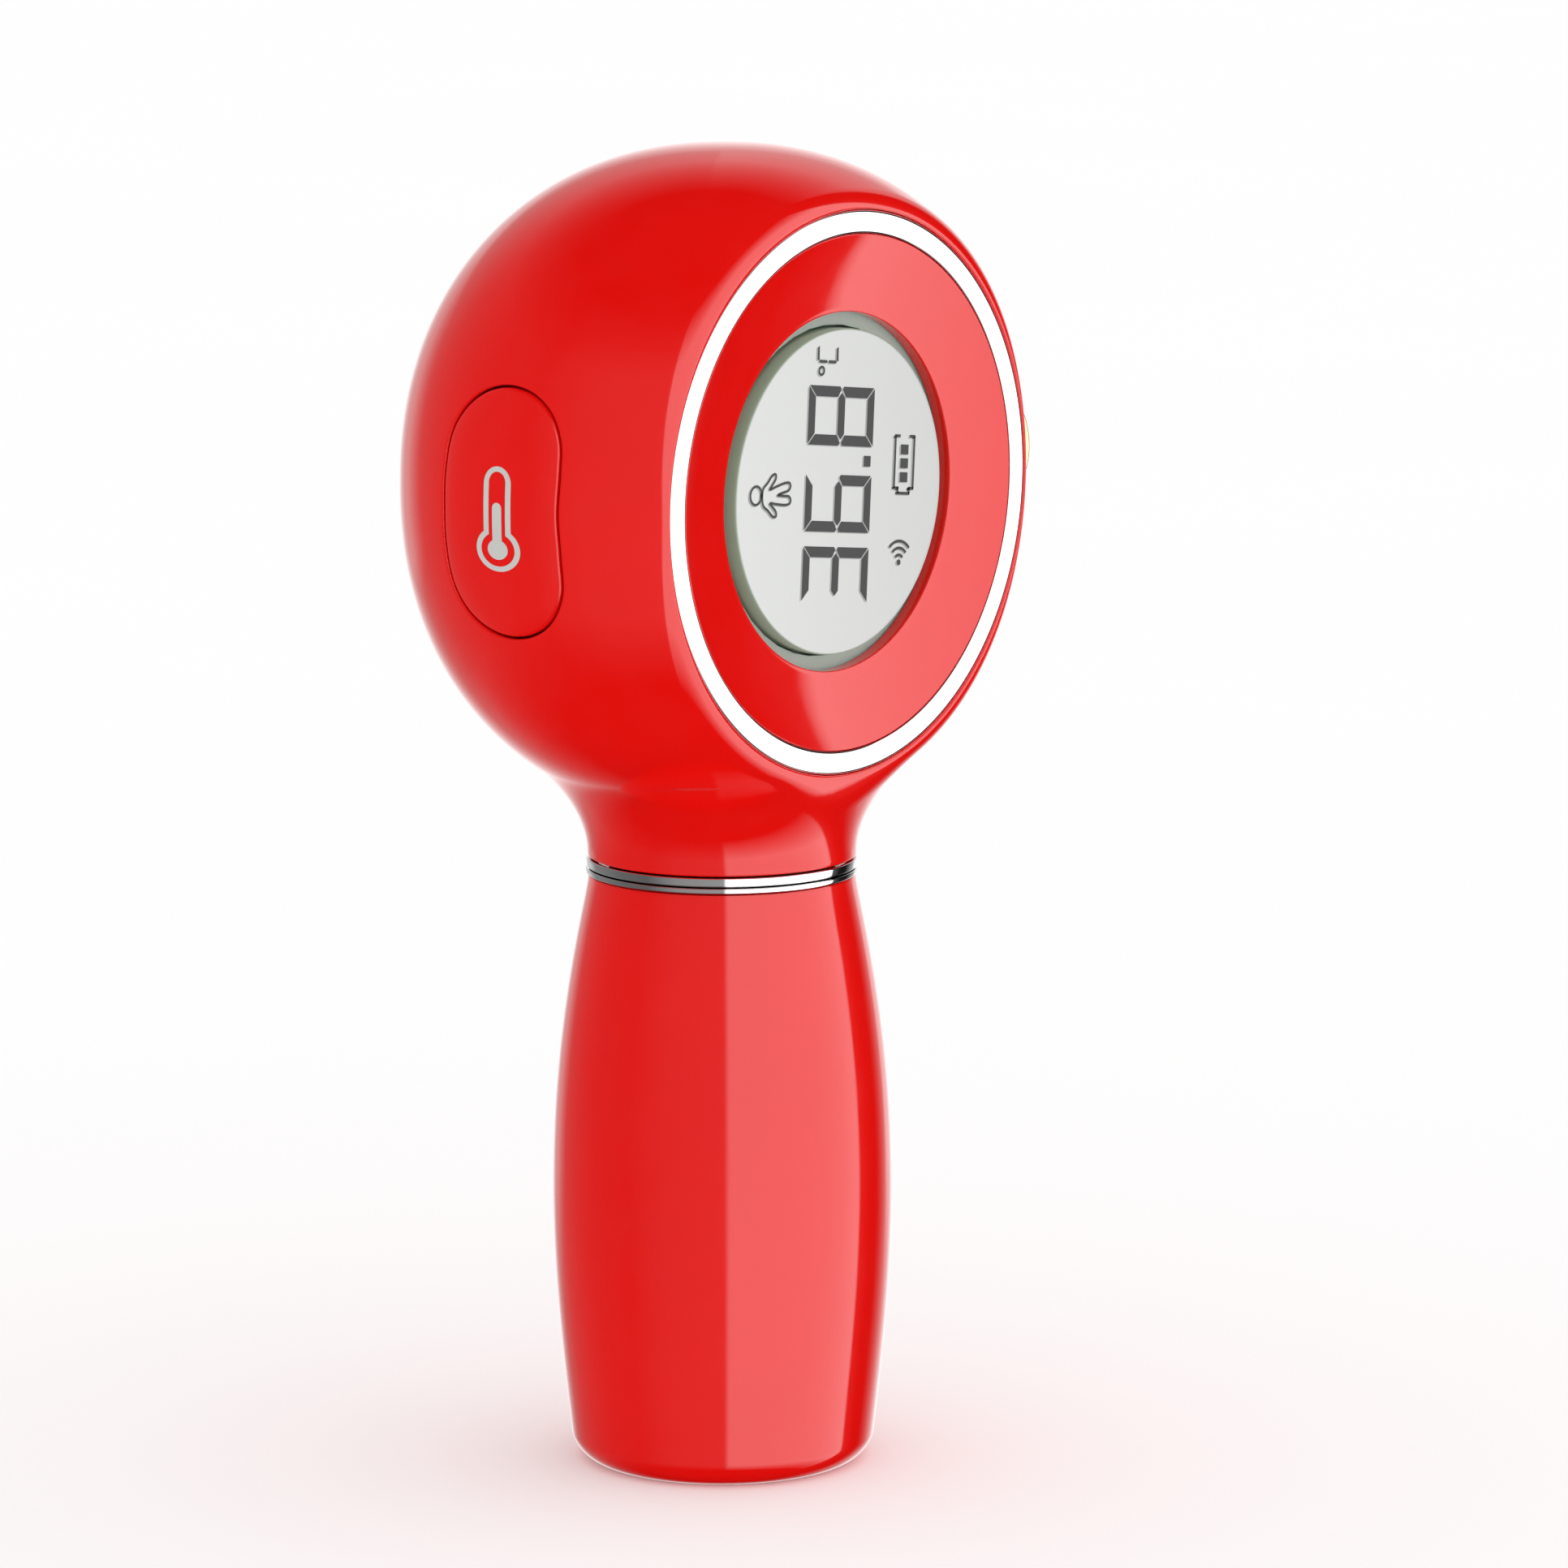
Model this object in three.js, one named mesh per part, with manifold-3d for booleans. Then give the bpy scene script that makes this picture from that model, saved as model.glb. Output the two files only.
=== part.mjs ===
// Hand-held infrared thermometer. A ball-shaped head carries a round display in front, a press
// key on one side and the sensor nose on the other. Its barrel handle pulls down off a carrier
// for two cells that is screwed into the neck.
// Millimetres, +Z up, display towards -Y, key towards -X, sensor towards +X. The origin is the
// centre of the handle's flat base.
import * as THREE from 'three';
import { mergeVertices } from 'three/addons/utils/BufferGeometryUtils.js';
import { ParametricGeometry } from 'three/addons/geometries/ParametricGeometry.js';
import Module from 'manifold-3d';

const wasm = await Module();
wasm.setup();

// ---- Driving dimensions ------------------------------------------------------------------

const GAP = 0.3; // between pieces that touch
const SLIDE_GAP = 0.25; // round a piece that slides

// Cells and their carrier
const CELL_R = 5.25;
const CELL_LENGTH = 44.5;
const CELL_NUB_R = 1.9;
const CELL_NUB_HEIGHT = 0.8;
const CELLS_APART = 0.5;
const CELL_CLEARANCE = 0.2;
const CARRIER_WALL = 1.15;
const CARRIER_END_WALL = 1.6;
const PLUG_LENGTH = 11.1; // the solid top of the carrier, which fills the neck
const CONTACT_PLATE = 0.4;
const CONTACT_SPRING_HEIGHT = 2.6;
const CONTACT_WIRE_R = 0.3;
const SEAL_WIRE_R = 0.6;
const SEAL_DEPTH = 2.6; // below the top of the handle

// Handle
const HANDLE_LENGTH = 64.9;
const HANDLE_WALL = 1.65;
const HANDLE_BORE_CLEARANCE = 0.8; // round the carrier
const HANDLE_FLOOR = 2.4;
const BELLY_SWELL = 3.99; // how far the belly stands out past the handle's top
const BELLY_HEIGHT = 30;
const FOOT_SWELL = 2.0;
const FOOT_FILLET = 2.8;

// Neck and its two trim rings
const TRIM_GAP = 0.15;
const LOWER_RING_HEIGHT = 0.6;
const UPPER_RING_HEIGHT = 0.95;
const RING_PROUD = 0.3;
const NECK_PROUD = 0.1; // neck radius beyond the top of the handle
const NECK_DROP = 40.9; // ball centre above the end of the neck
const NECK_FILLET = 6.5;
const NECK_BORE_DEPTH = 5.1;
const NECK_FLANGE = 2.2;
const NECK_FLANGE_WIDTH = 5.8;
const CARRIER_SCREW_INSET = 2.5; // from the carrier's side
const CARRIER_SCREW_SEAT = 1.7; // thickness under the screw's head

// Display, from the window outwards
const WINDOW_R = 17.45;
const WINDOW_SINK = 1.75; // window face behind the trim ring's face
const TRENCH = 1.75;
const BEZEL_WIDTH = 8.4;
const BEZEL_DISH = 1.7;
const BEZEL_SINK = 0.15;
const BEZEL_THICKNESS = 1.5;
const TRIM_WIDTH = 2.2;
const TRIM_DEPTH = 2.0;
const RIM = 0.6; // red edge outside the trim ring
const COLLAR_WALL = 1.6;

// Ball
const BALL_SHOULDER_X = 5.9; // half-width beyond the display's rim
const BALL_SHOULDER_Z = 5.7;
const BALL_Y = 33.1;
const BALL_POWER = 2.16;
const BALL_WALL = 2.0;

// Chassis, display glass and board
const CHASSIS_THICKNESS = 1.8;
const CHASSIS_SEAT = 1.7; // width of the shell's seat for the chassis
const CHASSIS_SCREW_SEAT = 0.8; // thickness under the screws' heads
const LCD_MARGIN = 0.55; // beyond the window
const LCD_THICKNESS = 1.6;
const LCD_FRAME_WALL = 1.0;
const LIGHT_GUIDE_THICKNESS = 2.0;
const LIGHT_GUIDE_MARGIN = 2.5; // short of the display glass, above and below
const STRIP_HEIGHT = 1.4;
const STRIP_LENGTH = 25;
const BOARD_MARGIN = 2.5; // inside the seat's edge
const BOARD_THICKNESS = 1.6;
const BOSS_R = 2.4;
const BOSS_LENGTH = 5.4;
const BOSS_OFFSET_X = 11.0;
const BOSS_INSET = 1.5; // from the seat's edge
const POST_R = 1.6;
const POST_OFFSET_Z = 6.0;
const SCREW_R = 0.7;
const SCREW_HOLE_R = 1.1;
const SCREW_HEAD_R = 1.7;
const SCREW_HEAD_HEIGHT = 1.0;
const PILOT_R = 0.85;

// Key and its switch
const KEY_WALL = 3.5; // skin and retaining flange together
const KEY_FLANGE = 0.9;
const KEY_STEM_R = 1.5;
const KEY_STEM_Y = -4.5;
const SWITCH_DEPTH = 3.4;
const SWITCH_WIDTH = 3.6;
const SWITCH_HEIGHT = 6.0;
const SWITCH_INSET = 0.4; // from the edge of the board
const PLUNGER_R = 1.1;
const PLUNGER_REACH = 1.0;

// Sensor nose
const NOSE_R = 8.4;
const NOSE_REACH = 7.1; // beyond the ball
const NOSE_BORE_R = 5.6;
const NOSE_SHOULDER = 1.9;
const TIP_RING_LENGTH = 1.2;
const HORN_MOUTH_R = 4.9;
const HORN_THROAT_R = 2.3;
const SENSOR_CAN_R = 2.7;
const SENSOR_CAN_LENGTH = 3.3;
const SENSOR_FLANGE = 0.6;
const SENSOR_FILTER = 0.5;
const SENSOR_BOARD_R = 6.6;
const SENSOR_BOARD_THICKNESS = 1.2;
const SENSOR_DEPTH = 10.3; // sensor board behind the ball's surface

// Facets
const ROUND = 40;
const SMALL_ROUND = 24;
const TINY_ROUND = 10;
const SKIN_FACETS = [44, 24, 7]; // round the ball, down the ball, down the neck
const CAVITY_FACETS = [28, 14, 5];

// ---- Sizes that follow -------------------------------------------------------------------

const CELL_CHANNEL_R = CELL_R + CELL_CLEARANCE;
const CELL_SPACING = 2 * CELL_R + CELLS_APART;
const CONTACT_HALF = CELL_R / Math.SQRT2; // square plates inside the cells' round ends
const CARRIER_R = CELL_SPACING / 2 + CELL_CHANNEL_R + CARRIER_WALL;
const HANDLE_BORE_R = CARRIER_R + HANDLE_BORE_CLEARANCE;
const HANDLE_TOP_R = HANDLE_BORE_R + HANDLE_WALL;
const NECK_R = HANDLE_TOP_R + NECK_PROUD;
const NECK_BORE_R = CARRIER_R + GAP;
const CARRIER_SCREW_REACH = CARRIER_R - CARRIER_SCREW_INSET;
const LOWER_RING_Z = HANDLE_LENGTH + TRIM_GAP;
const UPPER_RING_Z = LOWER_RING_Z + LOWER_RING_HEIGHT + TRIM_GAP;
const NECK_END_Z = UPPER_RING_Z + UPPER_RING_HEIGHT + TRIM_GAP;
const HEAD_Z = NECK_END_Z + NECK_DROP;
const PLUG_TOP_Z = NECK_END_Z + NECK_BORE_DEPTH - GAP;
const PLUG_END_Z = PLUG_TOP_Z - PLUG_LENGTH;
const POCKET_LENGTH = CELL_LENGTH + CONTACT_SPRING_HEIGHT + 2 * CONTACT_PLATE + 4 * GAP;
const POCKET_END_Z = PLUG_END_Z - POCKET_LENGTH;

const BEZEL_HOLE_R = WINDOW_R + TRENCH;
const BEZEL_R = BEZEL_HOLE_R + BEZEL_WIDTH;
const TRIM_INNER_R = BEZEL_R + 2 * TRIM_GAP;
const TRIM_R = TRIM_INNER_R + TRIM_WIDTH;
const RIM_R = TRIM_R + RIM;
const BALL_X = RIM_R + BALL_SHOULDER_X;
const BALL_Z = RIM_R + BALL_SHOULDER_Z;
const FRONT_Y = -BALL_Y * Math.sqrt(1 - (RIM_R / BALL_X) ** 2);
const CHASSIS_FRONT_Y = FRONT_Y + BEZEL_SINK + BEZEL_DISH + BEZEL_THICKNESS + GAP;
const CHASSIS_BACK_Y = CHASSIS_FRONT_Y + CHASSIS_THICKNESS;
const SEAT_Y = CHASSIS_BACK_Y + GAP;
const CHASSIS_R = BEZEL_R + GAP;
const COLLAR_R = CHASSIS_R + GAP;
const SEAT_R = COLLAR_R - CHASSIS_SEAT;
const BOARD_R = SEAT_R - BOARD_MARGIN;
const LCD_HALF = WINDOW_R + LCD_MARGIN;
const LIGHT_GUIDE_HALF_HEIGHT = LCD_HALF - LIGHT_GUIDE_MARGIN;
const LCD_Y = CHASSIS_BACK_Y + GAP;
const LIGHT_GUIDE_Y = LCD_Y + LCD_THICKNESS + GAP;
const BOARD_Y = LIGHT_GUIDE_Y + LIGHT_GUIDE_THICKNESS + GAP;
const BOARD_BACK_Y = BOARD_Y + BOARD_THICKNESS;
const BOSS_OFFSET_Z = Math.sqrt((SEAT_R - BOSS_INSET) ** 2 - BOSS_OFFSET_X ** 2);
const POST_OFFSET_X = LCD_HALF + LCD_FRAME_WALL + POST_R + 3 * GAP;
const SWITCH_X = -BOARD_R + SWITCH_INSET;
const SENSOR_BOARD_X = BALL_X - SENSOR_DEPTH;
const SENSOR_CAN_X = SENSOR_BOARD_X + SENSOR_BOARD_THICKNESS + GAP;
const SENSOR_FILTER_X = SENSOR_CAN_X + SENSOR_FLANGE + SENSOR_CAN_LENGTH + 0.15;
const HORN_X = SENSOR_FILTER_X + SENSOR_FILTER + GAP;
const NOSE_END_X = BALL_X + NOSE_REACH;
const TIP_RING_X = NOSE_END_X - TIP_RING_LENGTH;

// ---- Making solids -----------------------------------------------------------------------

const X = new THREE.Vector3(1, 0, 0);
const Y = new THREE.Vector3(0, 1, 0);
const Z = new THREE.Vector3(0, 0, 1);

// A closed geometry as a manifold solid: shared corners merged, slivers at the poles dropped.
function solid(geometry) {
  const bare = new THREE.BufferGeometry();
  bare.setAttribute('position', geometry.getAttribute('position'));
  bare.setIndex(geometry.getIndex());
  const merged = mergeVertices(bare, 1e-4);
  const corners = merged.getIndex().array;
  const kept = [];
  for (let i = 0; i < corners.length; i += 3) {
    const [a, b, c] = corners.subarray(i, i + 3);
    if (a !== b && b !== c && c !== a) kept.push(a, b, c);
  }
  return new wasm.Manifold(new wasm.Mesh({
    numProp: 3,
    vertProperties: merged.getAttribute('position').array,
    triVerts: Uint32Array.from(kept),
  }));
}

// A profile of [radius, height] points turned round an axis: it closes on itself, or starts
// and ends on the axis.
function turned(axis, profile, steps = ROUND) {
  const points = profile.map(([r, h]) => new THREE.Vector2(r, h));
  const onAxis = points[0].x === 0 && points.at(-1).x === 0;
  if (!onAxis) points.push(points[0].clone());
  if (THREE.ShapeUtils.area(points) < 0) points.reverse();
  const geometry = new THREE.LatheGeometry(points, steps);
  if (axis === X) geometry.rotateZ(-Math.PI / 2);
  if (axis === Z) geometry.rotateX(Math.PI / 2);
  return solid(geometry);
}

// A round bar from low to high along an axis, moved sideways to at.
function rod(axis, radius, low, high, at = [0, 0, 0], steps = SMALL_ROUND) {
  const bar = turned(axis, [[0, low], [radius, low], [radius, high], [0, high]], steps);
  return bar.translate(at);
}

function tube(axis, inner, outer, low, high, steps = ROUND) {
  return turned(axis, [[inner, low], [outer, low], [outer, high], [inner, high]], steps);
}

function block([x0, y0, z0], [x1, y1, z1]) {
  const geometry = new THREE.BoxGeometry(x1 - x0, y1 - y0, z1 - z0);
  geometry.translate((x0 + x1) / 2, (y0 + y1) / 2, (z0 + z1) / 2);
  return solid(geometry);
}

// A flat outline given by its Y and Z, carried along X from low to high.
function prismX(outline, low, high) {
  const shape = new THREE.Shape(outline);
  const geometry = new THREE.ExtrudeGeometry(shape, { depth: high - low, bevelEnabled: false });
  geometry.applyMatrix4(new THREE.Matrix4().makeBasis(Y, Z, X));
  geometry.translate(low, 0, 0);
  return solid(geometry);
}

// A round wire along a curve.
function wire(curve, radius, steps, sides = 6) {
  const section = new THREE.Shape().absarc(0, 0, radius, 0, 2 * Math.PI);
  const options = { steps, extrudePath: curve, curveSegments: sides, bevelEnabled: false };
  return solid(new THREE.ExtrudeGeometry(section, options));
}

const bezier = (steps, ...ends) => {
  const points = ends.map(([r, h]) => new THREE.Vector2(r, h));
  return new THREE.CubicBezierCurve(...points).getPoints(steps).map((p) => [p.x, p.y]);
};

// A named mesh of its own colour, roughness and metalness.
function piece(name, shape, colour, roughness, metalness = 0) {
  const { numProp, vertProperties, triVerts } = shape.getMesh();
  const geometry = new THREE.BufferGeometry();
  geometry.setAttribute('position', new THREE.BufferAttribute(vertProperties, numProp));
  geometry.setIndex(new THREE.BufferAttribute(triVerts, 1));
  geometry.computeVertexNormals();
  const material = new THREE.MeshStandardMaterial({ color: colour, roughness, metalness });
  const mesh = new THREE.Mesh(geometry, material);
  mesh.name = name;
  return mesh;
}

const RED = 0xe0211b;
const CHROME = 0xe8e8ea;
const STEEL = 0xb9bcc0;
const BLACK = 0x1d1e20;
const BRASS = 0xc9a35a;

// ---- Ball and neck -----------------------------------------------------------------------

// How far a point at radius r and height z lies outside the body: a ball whose size is the
// n-th root of (r / waist)^n + (z / half-height)^n, and below its middle also a neck, with a
// fillet where both are near.
function outside(body, waist, r, z) {
  const sum = (r / waist) ** BALL_POWER + (Math.abs(z) / body.z) ** BALL_POWER;
  const ball = Math.hypot(r, z) * (1 - 1 / sum ** (1 / BALL_POWER));
  const neck = r - body.neck;
  if (z > 0) return ball;
  if (ball < body.fillet && neck < body.fillet) {
    return body.fillet - Math.hypot(body.fillet - ball, body.fillet - neck);
  }
  return Math.min(ball, neck);
}

// The body's horizontal radius at an azimuth and a height, found by halving.
function bodyRadius(body, azimuth, z) {
  const waist = 1 / Math.hypot(Math.cos(azimuth) / body.x, Math.sin(azimuth) / body.y);
  let low = 1e-3;
  let high = 2 * waist;
  for (let i = 0; i < 30; i += 1) {
    const middle = (low + high) / 2;
    if (outside(body, waist, middle, z) > 0) high = middle;
    else low = middle;
  }
  return low;
}

// The body's surface, as rings from its top down to the flat end of its neck.
function ballAndNeck(body, around, ballRings, neckRings) {
  const heights = [];
  const span = THREE.MathUtils.degToRad(150);
  for (let i = 1; i <= ballRings; i += 1) {
    heights.push(body.z * Math.cos(span * i / ballRings));
  }
  const from = heights.at(-1);
  for (let i = 1; i <= neckRings; i += 1) {
    heights.push(THREE.MathUtils.lerp(from, body.end, i / neckRings));
  }
  const stacks = heights.length + 1;
  const point = (u, v, target) => {
    const ring = Math.round(v * stacks) - 1;
    if (ring < 0) target.set(0, 0, body.z);
    else if (ring === heights.length) target.set(0, 0, body.end);
    else {
      const azimuth = -2 * Math.PI * u;
      const r = bodyRadius(body, azimuth, heights[ring]);
      target.set(r * Math.cos(azimuth), r * Math.sin(azimuth), heights[ring]);
    }
  };
  return solid(new ParametricGeometry(point, around, stacks));
}

// The body with everything moved in by a wall.
function inset(wall, neck = NECK_R - wall, end = -NECK_DROP) {
  return {
    x: BALL_X - wall, y: BALL_Y - wall, z: BALL_Z - wall, neck, end, fillet: NECK_FILLET + wall,
  };
}

const skin = ballAndNeck(inset(0), ...SKIN_FACETS);

// The key's outline as Y and Z: nearly straight in front, bowed behind, round at both ends.
function keyOutline(grow) {
  const knots = [
    [0, 13.4], [-3.3, 12.7], [-5.8, 10.8], [-7.2, 8], [-7.45, 4.6], [-7.3, 0.6], [-7.5, -4],
    [-7.3, -8], [-5.6, -11], [-3.1, -12.7], [0, -13.3], [3.2, -12.7], [6, -11], [8, -8.2],
    [8.8, -4], [8.9, 0], [8.8, 4], [8, 8.2], [6, 11], [3.2, 12.8],
  ];
  const curve = new THREE.CatmullRomCurve3(knots.map(([y, z]) => new THREE.Vector3(y, z)), true);
  const outline = [];
  for (let i = 0; i < 44; i += 1) {
    const at = curve.getPointAt(i / 44);
    const along = curve.getTangentAt(i / 44);
    outline.push(new THREE.Vector2(at.x + along.y * grow, at.y - along.x * grow));
  }
  return outline;
}

const bossPlaces = [[1, 1], [1, -1], [-1, -1], [-1, 1]].map(
  ([sx, sz]) => [sx * BOSS_OFFSET_X, 0, sz * BOSS_OFFSET_Z],
);
const postPlaces = [[1, 1], [1, -1], [-1, -1], [-1, 1]].map(
  ([sx, sz]) => [sx * POST_OFFSET_X, 0, sz * POST_OFFSET_Z],
);
const carrierScrewPlaces = [[0, CARRIER_SCREW_REACH, 0], [0, -CARRIER_SCREW_REACH, 0]];

// One moulding: ball, neck, collar and seat for the display, four bosses, and the flange in
// the neck that the carrier screws to.
function headShell() {
  const trimBack = FRONT_Y + TRIM_DEPTH + GAP;
  const seatBack = SEAT_Y + BALL_WALL;
  const collar = turned(Y, [
    [COLLAR_R, trimBack], [RIM_R, trimBack], [COLLAR_R + COLLAR_WALL, trimBack + BALL_WALL],
    [COLLAR_R + COLLAR_WALL, seatBack], [SEAT_R, seatBack], [SEAT_R, SEAT_Y], [COLLAR_R, SEAT_Y],
  ])
    .subtract(rod(X, NOSE_R + NOSE_SHOULDER + GAP, 0, BALL_X))
    .subtract(prismX(keyOutline(KEY_FLANGE + GAP), -BALL_X, 0));
  const flangeZ = -NECK_DROP + NECK_BORE_DEPTH;
  const flange = tube(Z, NECK_BORE_R - NECK_FLANGE_WIDTH, BALL_X, flangeZ, flangeZ + NECK_FLANGE)
    .intersect(skin);
  let shell = skin
    .subtract(ballAndNeck(inset(BALL_WALL, NECK_BORE_R, -NECK_DROP - 2), ...CAVITY_FACETS))
    .add(collar)
    .add(flange);
  for (const at of bossPlaces) {
    shell = shell
      .add(rod(Y, BOSS_R, SEAT_Y, SEAT_Y + BOSS_LENGTH, at, TINY_ROUND))
      .subtract(rod(Y, PILOT_R, SEAT_Y - 1, SEAT_Y + BOSS_LENGTH - 1, at, TINY_ROUND));
  }
  for (const at of carrierScrewPlaces) {
    shell = shell.subtract(
      rod(Z, PILOT_R, flangeZ - 1, flangeZ + NECK_FLANGE + 1, at, TINY_ROUND),
    );
  }
  const nose = rod(X, NOSE_R + GAP, BALL_X / 2, BALL_X + 1);
  const key = prismX(keyOutline(0), -BALL_X - 1, -BALL_X / 2);
  const front = block([-60, FRONT_Y - 60, -60], [60, FRONT_Y, 60]);
  const trimSeat = rod(Y, TRIM_R + TRIM_GAP, FRONT_Y - 1, trimBack, [0, 0, 0], ROUND);
  return shell.subtract(nose).subtract(key).subtract(front).subtract(trimSeat);
}

// ---- Display -----------------------------------------------------------------------------

function trimRing() {
  const crown = 0.35;
  return turned(Y, [
    [TRIM_INNER_R, FRONT_Y + BEZEL_SINK + 0.05], [TRIM_INNER_R + crown, FRONT_Y + 0.05],
    [TRIM_R - crown, FRONT_Y], [TRIM_R, FRONT_Y + crown],
    [TRIM_R, FRONT_Y + TRIM_DEPTH], [TRIM_INNER_R, FRONT_Y + TRIM_DEPTH],
  ]);
}

// A dished ring that falls from the trim ring to the edge of the window's opening.
function bezel() {
  const edgeY = FRONT_Y + BEZEL_SINK;
  const holeY = edgeY + BEZEL_DISH;
  const backY = holeY + BEZEL_THICKNESS;
  const face = bezier(
    5, [BEZEL_R, edgeY], [BEZEL_R - BEZEL_WIDTH / 3, edgeY + BEZEL_DISH * 0.45],
    [BEZEL_HOLE_R + BEZEL_WIDTH / 3, holeY - BEZEL_DISH * 0.25], [BEZEL_HOLE_R, holeY],
  );
  const footR = BEZEL_HOLE_R + BEZEL_THICKNESS;
  return turned(Y, [...face, [BEZEL_HOLE_R, backY], [footR, backY], [BEZEL_R, edgeY + 1.8]]);
}

function displayWindow() {
  const faceY = FRONT_Y + WINDOW_SINK;
  const round = 0.4;
  return turned(Y, [
    [0, faceY], [WINDOW_R - round, faceY], [WINDOW_R, faceY + round],
    [WINDOW_R, CHASSIS_BACK_Y], [0, CHASSIS_BACK_Y],
  ]);
}

// The plate behind the bezel. It holds the window and carries the board on four posts.
function chassis() {
  let plate = tube(Y, WINDOW_R + GAP, CHASSIS_R, CHASSIS_FRONT_Y, CHASSIS_BACK_Y);
  const headSeat = CHASSIS_BACK_Y - CHASSIS_SCREW_SEAT;
  for (const at of bossPlaces) {
    plate = plate
      .subtract(rod(Y, SCREW_HOLE_R, CHASSIS_FRONT_Y - 1, CHASSIS_BACK_Y + 1, at, TINY_ROUND))
      .subtract(rod(Y, SCREW_HEAD_R + GAP, CHASSIS_FRONT_Y - 1, headSeat, at, TINY_ROUND));
  }
  for (const at of postPlaces) {
    plate = plate
      .add(rod(Y, POST_R, CHASSIS_BACK_Y - 0.5, BOARD_Y - GAP, at, TINY_ROUND))
      .subtract(rod(Y, PILOT_R, CHASSIS_BACK_Y + 0.5, BOARD_Y, at, TINY_ROUND));
  }
  return plate;
}

// A screw whose head's underside is at seat; its shank runs on by length, and sign turns it.
function screw(axis, seat, length, sign, at) {
  return turned(axis, [
    [0, seat - sign * SCREW_HEAD_HEIGHT], [SCREW_HEAD_R * 0.8, seat - sign * SCREW_HEAD_HEIGHT],
    [SCREW_HEAD_R, seat - sign * SCREW_HEAD_HEIGHT * 0.6], [SCREW_HEAD_R, seat],
    [SCREW_R, seat], [SCREW_R, seat + sign * (length - 0.6)], [0, seat + sign * length],
  ], TINY_ROUND).translate(at);
}

// A square plate whose corners are rounded off to fit in a circle.
function clippedSquare(half, radius, low, high) {
  const circle = rod(Y, radius, low, high, [0, 0, 0], ROUND);
  return block([-half, low, -half], [half, high, half]).intersect(circle);
}

function lcdFrame() {
  const half = LCD_HALF + GAP;
  const radius = SEAT_R - GAP;
  const high = BOARD_Y - GAP;
  const frame = clippedSquare(half + LCD_FRAME_WALL, radius, LCD_Y, high);
  return frame.subtract(clippedSquare(half, radius - LCD_FRAME_WALL, LCD_Y - 1, high + 1));
}

function mainBoard() {
  let board = rod(Y, BOARD_R, BOARD_Y, BOARD_BACK_Y, [0, 0, 0], ROUND);
  for (const at of bossPlaces) {
    board = board.subtract(rod(Y, BOSS_R + GAP, BOARD_Y - 1, BOARD_BACK_Y + 1, at, TINY_ROUND));
  }
  for (const at of postPlaces) {
    board = board.subtract(rod(Y, SCREW_HOLE_R, BOARD_Y - 1, BOARD_BACK_Y + 1, at, TINY_ROUND));
  }
  return board;
}

// A flat component standing on the back of the board, centred at x and z.
function onBoard(x, z, width, height, thickness) {
  const low = BOARD_BACK_Y + GAP;
  return block(
    [x - width / 2, low, z - height / 2], [x + width / 2, low + thickness, z + height / 2],
  );
}

function displayParts() {
  const side = LCD_HALF - GAP;
  const stripZ = LIGHT_GUIDE_HALF_HEIGHT + GAP + STRIP_HEIGHT / 2;
  const glassR = SEAT_R - LCD_FRAME_WALL - 2 * GAP;
  const lcd = clippedSquare(LCD_HALF, glassR, LCD_Y, LCD_Y + LCD_THICKNESS);
  const guideBack = LIGHT_GUIDE_Y + LIGHT_GUIDE_THICKNESS;
  const guide = clippedSquare(side, glassR, LIGHT_GUIDE_Y, guideBack).intersect(block(
    [-side, LIGHT_GUIDE_Y - 1, -LIGHT_GUIDE_HALF_HEIGHT],
    [side, guideBack + 1, LIGHT_GUIDE_HALF_HEIGHT],
  ));
  const strip = (z) => block(
    [-STRIP_LENGTH / 2, LIGHT_GUIDE_Y, z - STRIP_HEIGHT / 2],
    [STRIP_LENGTH / 2, BOARD_Y - GAP, z + STRIP_HEIGHT / 2],
  );
  const buzzerY = BOARD_BACK_Y + GAP;
  const buzzer = tube(Y, 0.8, 6, buzzerY, buzzerY + 4, SMALL_ROUND).translate([8, 0, -11]);
  return [
    piece('display_trim_ring', trimRing(), CHROME, 0.12, 1),
    piece('display_bezel', bezel(), RED, 0.25),
    piece('display_window', displayWindow(), 0xdcdedb, 0.2),
    piece('display_chassis', chassis(), 0x8b9086, 0.6),
    piece('lcd_panel', lcd, 0xc9cec4, 0.1),
    piece('lcd_frame', lcdFrame(), 0xe9e9e6, 0.6),
    piece('light_guide', guide, 0xf4f6f4, 0.3),
    piece('contact_strip_upper', strip(stripZ), 0xa9687a, 0.8),
    piece('contact_strip_lower', strip(-stripZ), 0xa9687a, 0.8),
    piece('main_board', mainBoard(), 0x1d5c3a, 0.5),
    piece('controller_chip', onBoard(0, 5, 9, 9, 1.2), BLACK, 0.5),
    piece('wireless_module', onBoard(2, 16, 13, 9, 2), STEEL, 0.35, 1),
    piece('buzzer', buzzer, BLACK, 0.5),
    piece('tact_switch', tactSwitch(), BLACK, 0.5),
    ...bossPlaces.map((at, i) => piece(
      `chassis_screw_${i + 1}`, screw(Y, CHASSIS_BACK_Y - CHASSIS_SCREW_SEAT - GAP, 5.5, 1, at), STEEL, 0.35, 1,
    )),
    ...postPlaces.map((at, i) => piece(
      `board_screw_${i + 1}`, screw(Y, BOARD_BACK_Y + GAP, 5.2, -1, at), STEEL, 0.35, 1,
    )),
  ];
}

// ---- Key and switch ----------------------------------------------------------------------

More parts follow.
